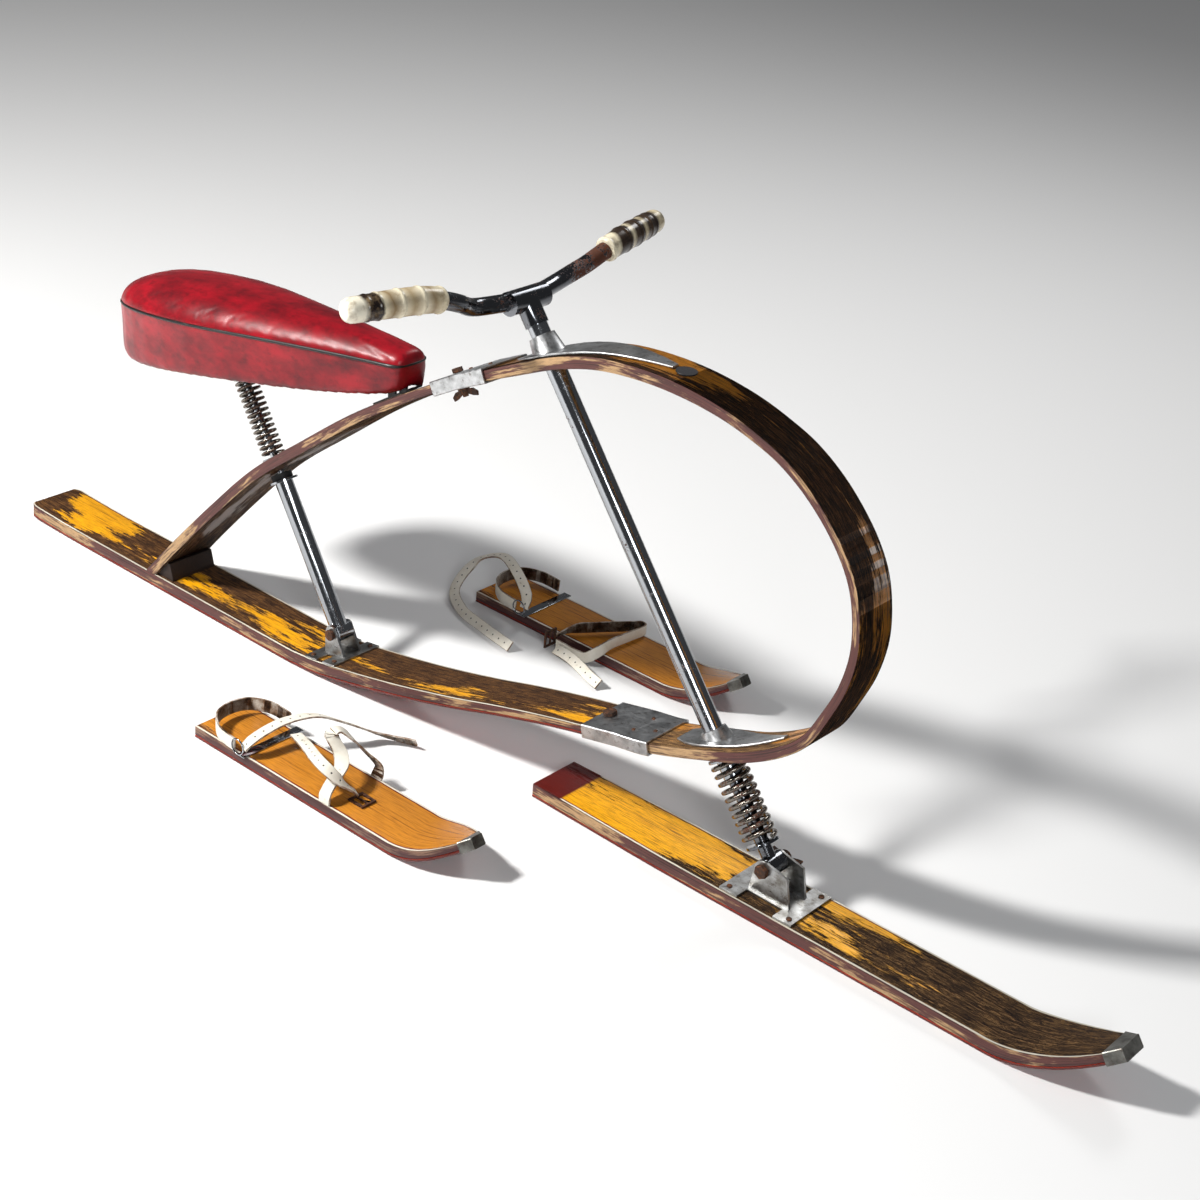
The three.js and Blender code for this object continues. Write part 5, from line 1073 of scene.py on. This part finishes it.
# The other straps' middle lines, as shares of the foot ski's length.
STRAP_LINES = {
    "right_instep_strap": (
        (0.2097, -0.1, 0.0636), (0.2203, -0.0869, 0.0847), (0.2267, -0.017, 0.1038), (0.2352, 0.0466, 0.108),
        (0.2585, 0.1186, 0.1017), (0.3093, 0.1886, 0.072), (0.356, 0.2627, 0.03), (0.398, 0.2966, 0.0187),
        (0.4534, 0.322, 0.0187),
    ),
    "right_toe_strap": (
        (0.5254, -0.0943, 0.0375), (0.5254, -0.0922, 0.0636), (0.5127, -0.0508, 0.0881),
        (0.5064, -0.0178, 0.1123), (0.4767, 0.0042, 0.1335), (0.4301, 0.0169, 0.1631),
        (0.4364, 0.0381, 0.1716), (0.4619, 0.0593, 0.1483), (0.4926, 0.0869, 0.1049),
        (0.5233, 0.1059, 0.0699), (0.5275, 0.1017, 0.0551), (0.5275, 0.0943, 0.0375),
    ),
    "right_toe_tongue": (
        (0.2945, 0.0106, 0.1017), (0.3708, -0.0169, 0.1102), (0.4449, -0.0551, 0.1271),
        (0.5042, -0.0742, 0.1303), (0.5423, -0.0593, 0.1025), (0.5614, -0.0127, 0.0519),
    ),
    "left_instep_strap": (
        (0.2087, -0.1017, 0.0636), (0.2076, -0.0911, 0.0975), (0.1208, -0.0551, 0.1483),
        (0.0275, -0.0191, 0.1483), (-0.072, -0.0275, 0.0911), (-0.0636, -0.1271, 0.0339),
        (0.0275, -0.1928, 0.0191), (0.1653, -0.2288, 0.0191), (0.2945, -0.2521, 0.0191),
    ),
    "left_toe_strap": (
        (0.3644, -0.1229, 0.0424), (0.3941, -0.0763, 0.0604), (0.4343, -0.0169, 0.0614),
        (0.4915, 0.0593, 0.0614), (0.5191, 0.0975, 0.0604), (0.5403, 0.0932, 0.0604),
        (0.5381, 0.0212, 0.0604), (0.5318, -0.0636, 0.0604), (0.5254, -0.1144, 0.0487),
        (0.5021, -0.1398, 0.0297), (0.4492, -0.1441, 0.0258), (0.3814, -0.1398, 0.0258),
    ),
    "left_toe_tongue": (
        (0.3962, -0.1589, 0.0212), (0.4555, -0.1695, 0.0254), (0.5191, -0.1864, 0.0233),
        (0.572, -0.2034, 0.0191), (0.6229, -0.2182, 0.0191),
    ),
}


def heel_points():
    right = [Vector((HEEL_X + 0.066 * a, -STRAP_HALF * b, 0.0275 + 0.006 * c)) for a, b, c in HEEL_SHARES]
    left = [Vector((p.x, -p.y, p.z)) for p in right[:-1]]
    return right + list(reversed(left))


def strap_points(node):
    return [Vector(share) * FOOT_LENGTH for share in STRAP_LINES[node]]


def ring_and_plate(name, shift, body, node):
    """The wire ring that the long strap passes, on the end of its thin cross plate."""
    bm = bmesh.new()
    place = Matrix.Translation(shift + Vector((HEEL_X + 0.015, 0, FOOT_TOP + 0.0011)))
    bmesh.ops.create_cube(bm, size=1, matrix=place @ Matrix.Diagonal((0.014, 0.103, 0.0016, 1)))
    sharp = [e for e in bm.edges if e.calc_face_angle(0) > 1]
    bmesh.ops.bevel(bm, geom=sharp, offset=0.0004, segments=2, profile=0.5, affect="EDGES")
    middle = shift + Vector((HEEL_X + 0.008, -0.0504, FOOT_TOP + 0.0118))
    frames = []
    for angle in spread(0, 2 * math.pi, 48):
        out = Vector((math.cos(angle), 0, math.sin(angle)))
        tangent = Vector((-math.sin(angle), 0, math.cos(angle)))
        frames.append(frame_at(middle + out * RING, out, tangent.cross(out), tangent))
    sweep(bm, round_face(bm, RING_WIRE / 2, 12), frames)
    settle(name, bm, "chrome", body, node)


def band_piece(name, points, outward, shift, width, look, body, node, steps=60):
    """A flat strap along points, its outer face turned as the outward function says."""
    line = Line(points)
    frames, lengths = [], []
    for share in spread(0, 1, steps):
        point, tangent = line.at(share), line.tangent(share)
        away = outward(point)
        away = (away - tangent * away.dot(tangent)).normalized()
        frames.append(frame_at(point + shift, away.cross(tangent), away, tangent, width, STRAP))
        lengths.append(share * line.length)
    looks = (look, "strap_back", "strap_back")
    ribbon_piece(name, (frames, lengths), looks, body, node, THIN_EDGE)


class SKIBIKE_OT_foot_skis(bpy.types.Operator):
    """The two foot skis with their straps"""
    bl_idname = "skibike.foot_skis"
    bl_label = "Foot skis"

    def execute(self, context):
        ski = tipped(
            tail_x=0, tip_x=FOOT_LENGTH, reach=0.11, rise=0.048, width=FOOT_WIDTH, wood=FOOT_WOOD,
            tip_shares=(1, 1, 1, 0.985, 0.925, 0.815, 0.65, 0.43, 0.17), tail_share=1, taper=0.11)
        narrow = STRAP_WIDTH - STRAP
        for side, place in FOOT_PLACES.items():
            shift = Vector(place)
            body = side + "_foot"
            looks = ("foot_top", "side_foot", "side_foot")
            lay_ski(body, body + "_ski", ski, looks, body, shift)
            band_piece(
                side + "_heel_band", heel_points(), lambda p: Vector((min(0.0, p.x - 0.064), p.y, 0)),
                shift, STRAP_WIDTH, "strap", body, side + "_heel_strap")
            # The right toe strap stands as an arch over the boot's place. The left one has fallen over.
            if side == "right":
                over, width = (lambda p: Vector((0, p.y, p.z - 0.008))), STRAP_WIDTH
            else:
                over, width = (lambda p: Vector((p.x - 0.225, p.y + 0.015, 0))), narrow
            node = side + "_toe_strap"
            band_piece(side + "_toe_band", strap_points(node), over, shift, width, "strap", body, node, 90)
            for node in (side + "_instep_strap", side + "_toe_tongue"):
                band_piece(
                    node + "_band", strap_points(node), lambda p: Vector((0, p.y / 2, FOOT_WIDTH / 2)), shift,
                    narrow, "strap_punched", body, node)
            ring_and_plate(side + "_ring", shift, body, side + "_heel_ring")
        return {"FINISHED"}


class SKIBIKE_PT_panel(bpy.types.Panel):
    """Lists the steps that dress the ski bike"""
    bl_idname = "SKIBIKE_PT_panel"
    bl_label = "Ski bike"
    bl_space_type = "VIEW_3D"
    bl_region_type = "UI"
    bl_category = "Ski bike"

    def draw(self, context):
        for item in CLASSES:
            if hasattr(item, "execute"):
                self.layout.operator(item.bl_idname)


CLASSES = (
    SKIBIKE_PG_sizes, SKIBIKE_OT_stage, SKIBIKE_OT_skis, SKIBIKE_OT_frame, SKIBIKE_OT_fittings,
    SKIBIKE_OT_springs, SKIBIKE_OT_bar, SKIBIKE_OT_saddle, SKIBIKE_OT_foot_skis, SKIBIKE_PT_panel,
)


def register():
    for item in CLASSES:
        bpy.utils.register_class(item)
    bpy.types.Scene.skibike_sizes = bpy.props.PointerProperty(type=SKIBIKE_PG_sizes)


def unregister():
    del bpy.types.Scene.skibike_sizes
    for item in reversed(CLASSES):
        bpy.utils.unregister_class(item)


def main():
    register()
    make_looks()
    bpy.ops.skibike.stage()
    bpy.ops.skibike.skis()
    bpy.ops.skibike.frame()
    bpy.ops.skibike.fittings()
    bpy.ops.skibike.springs()
    bpy.ops.skibike.bar()
    bpy.ops.skibike.saddle()
    bpy.ops.skibike.foot_skis()


if __name__ == "__main__":
    main()
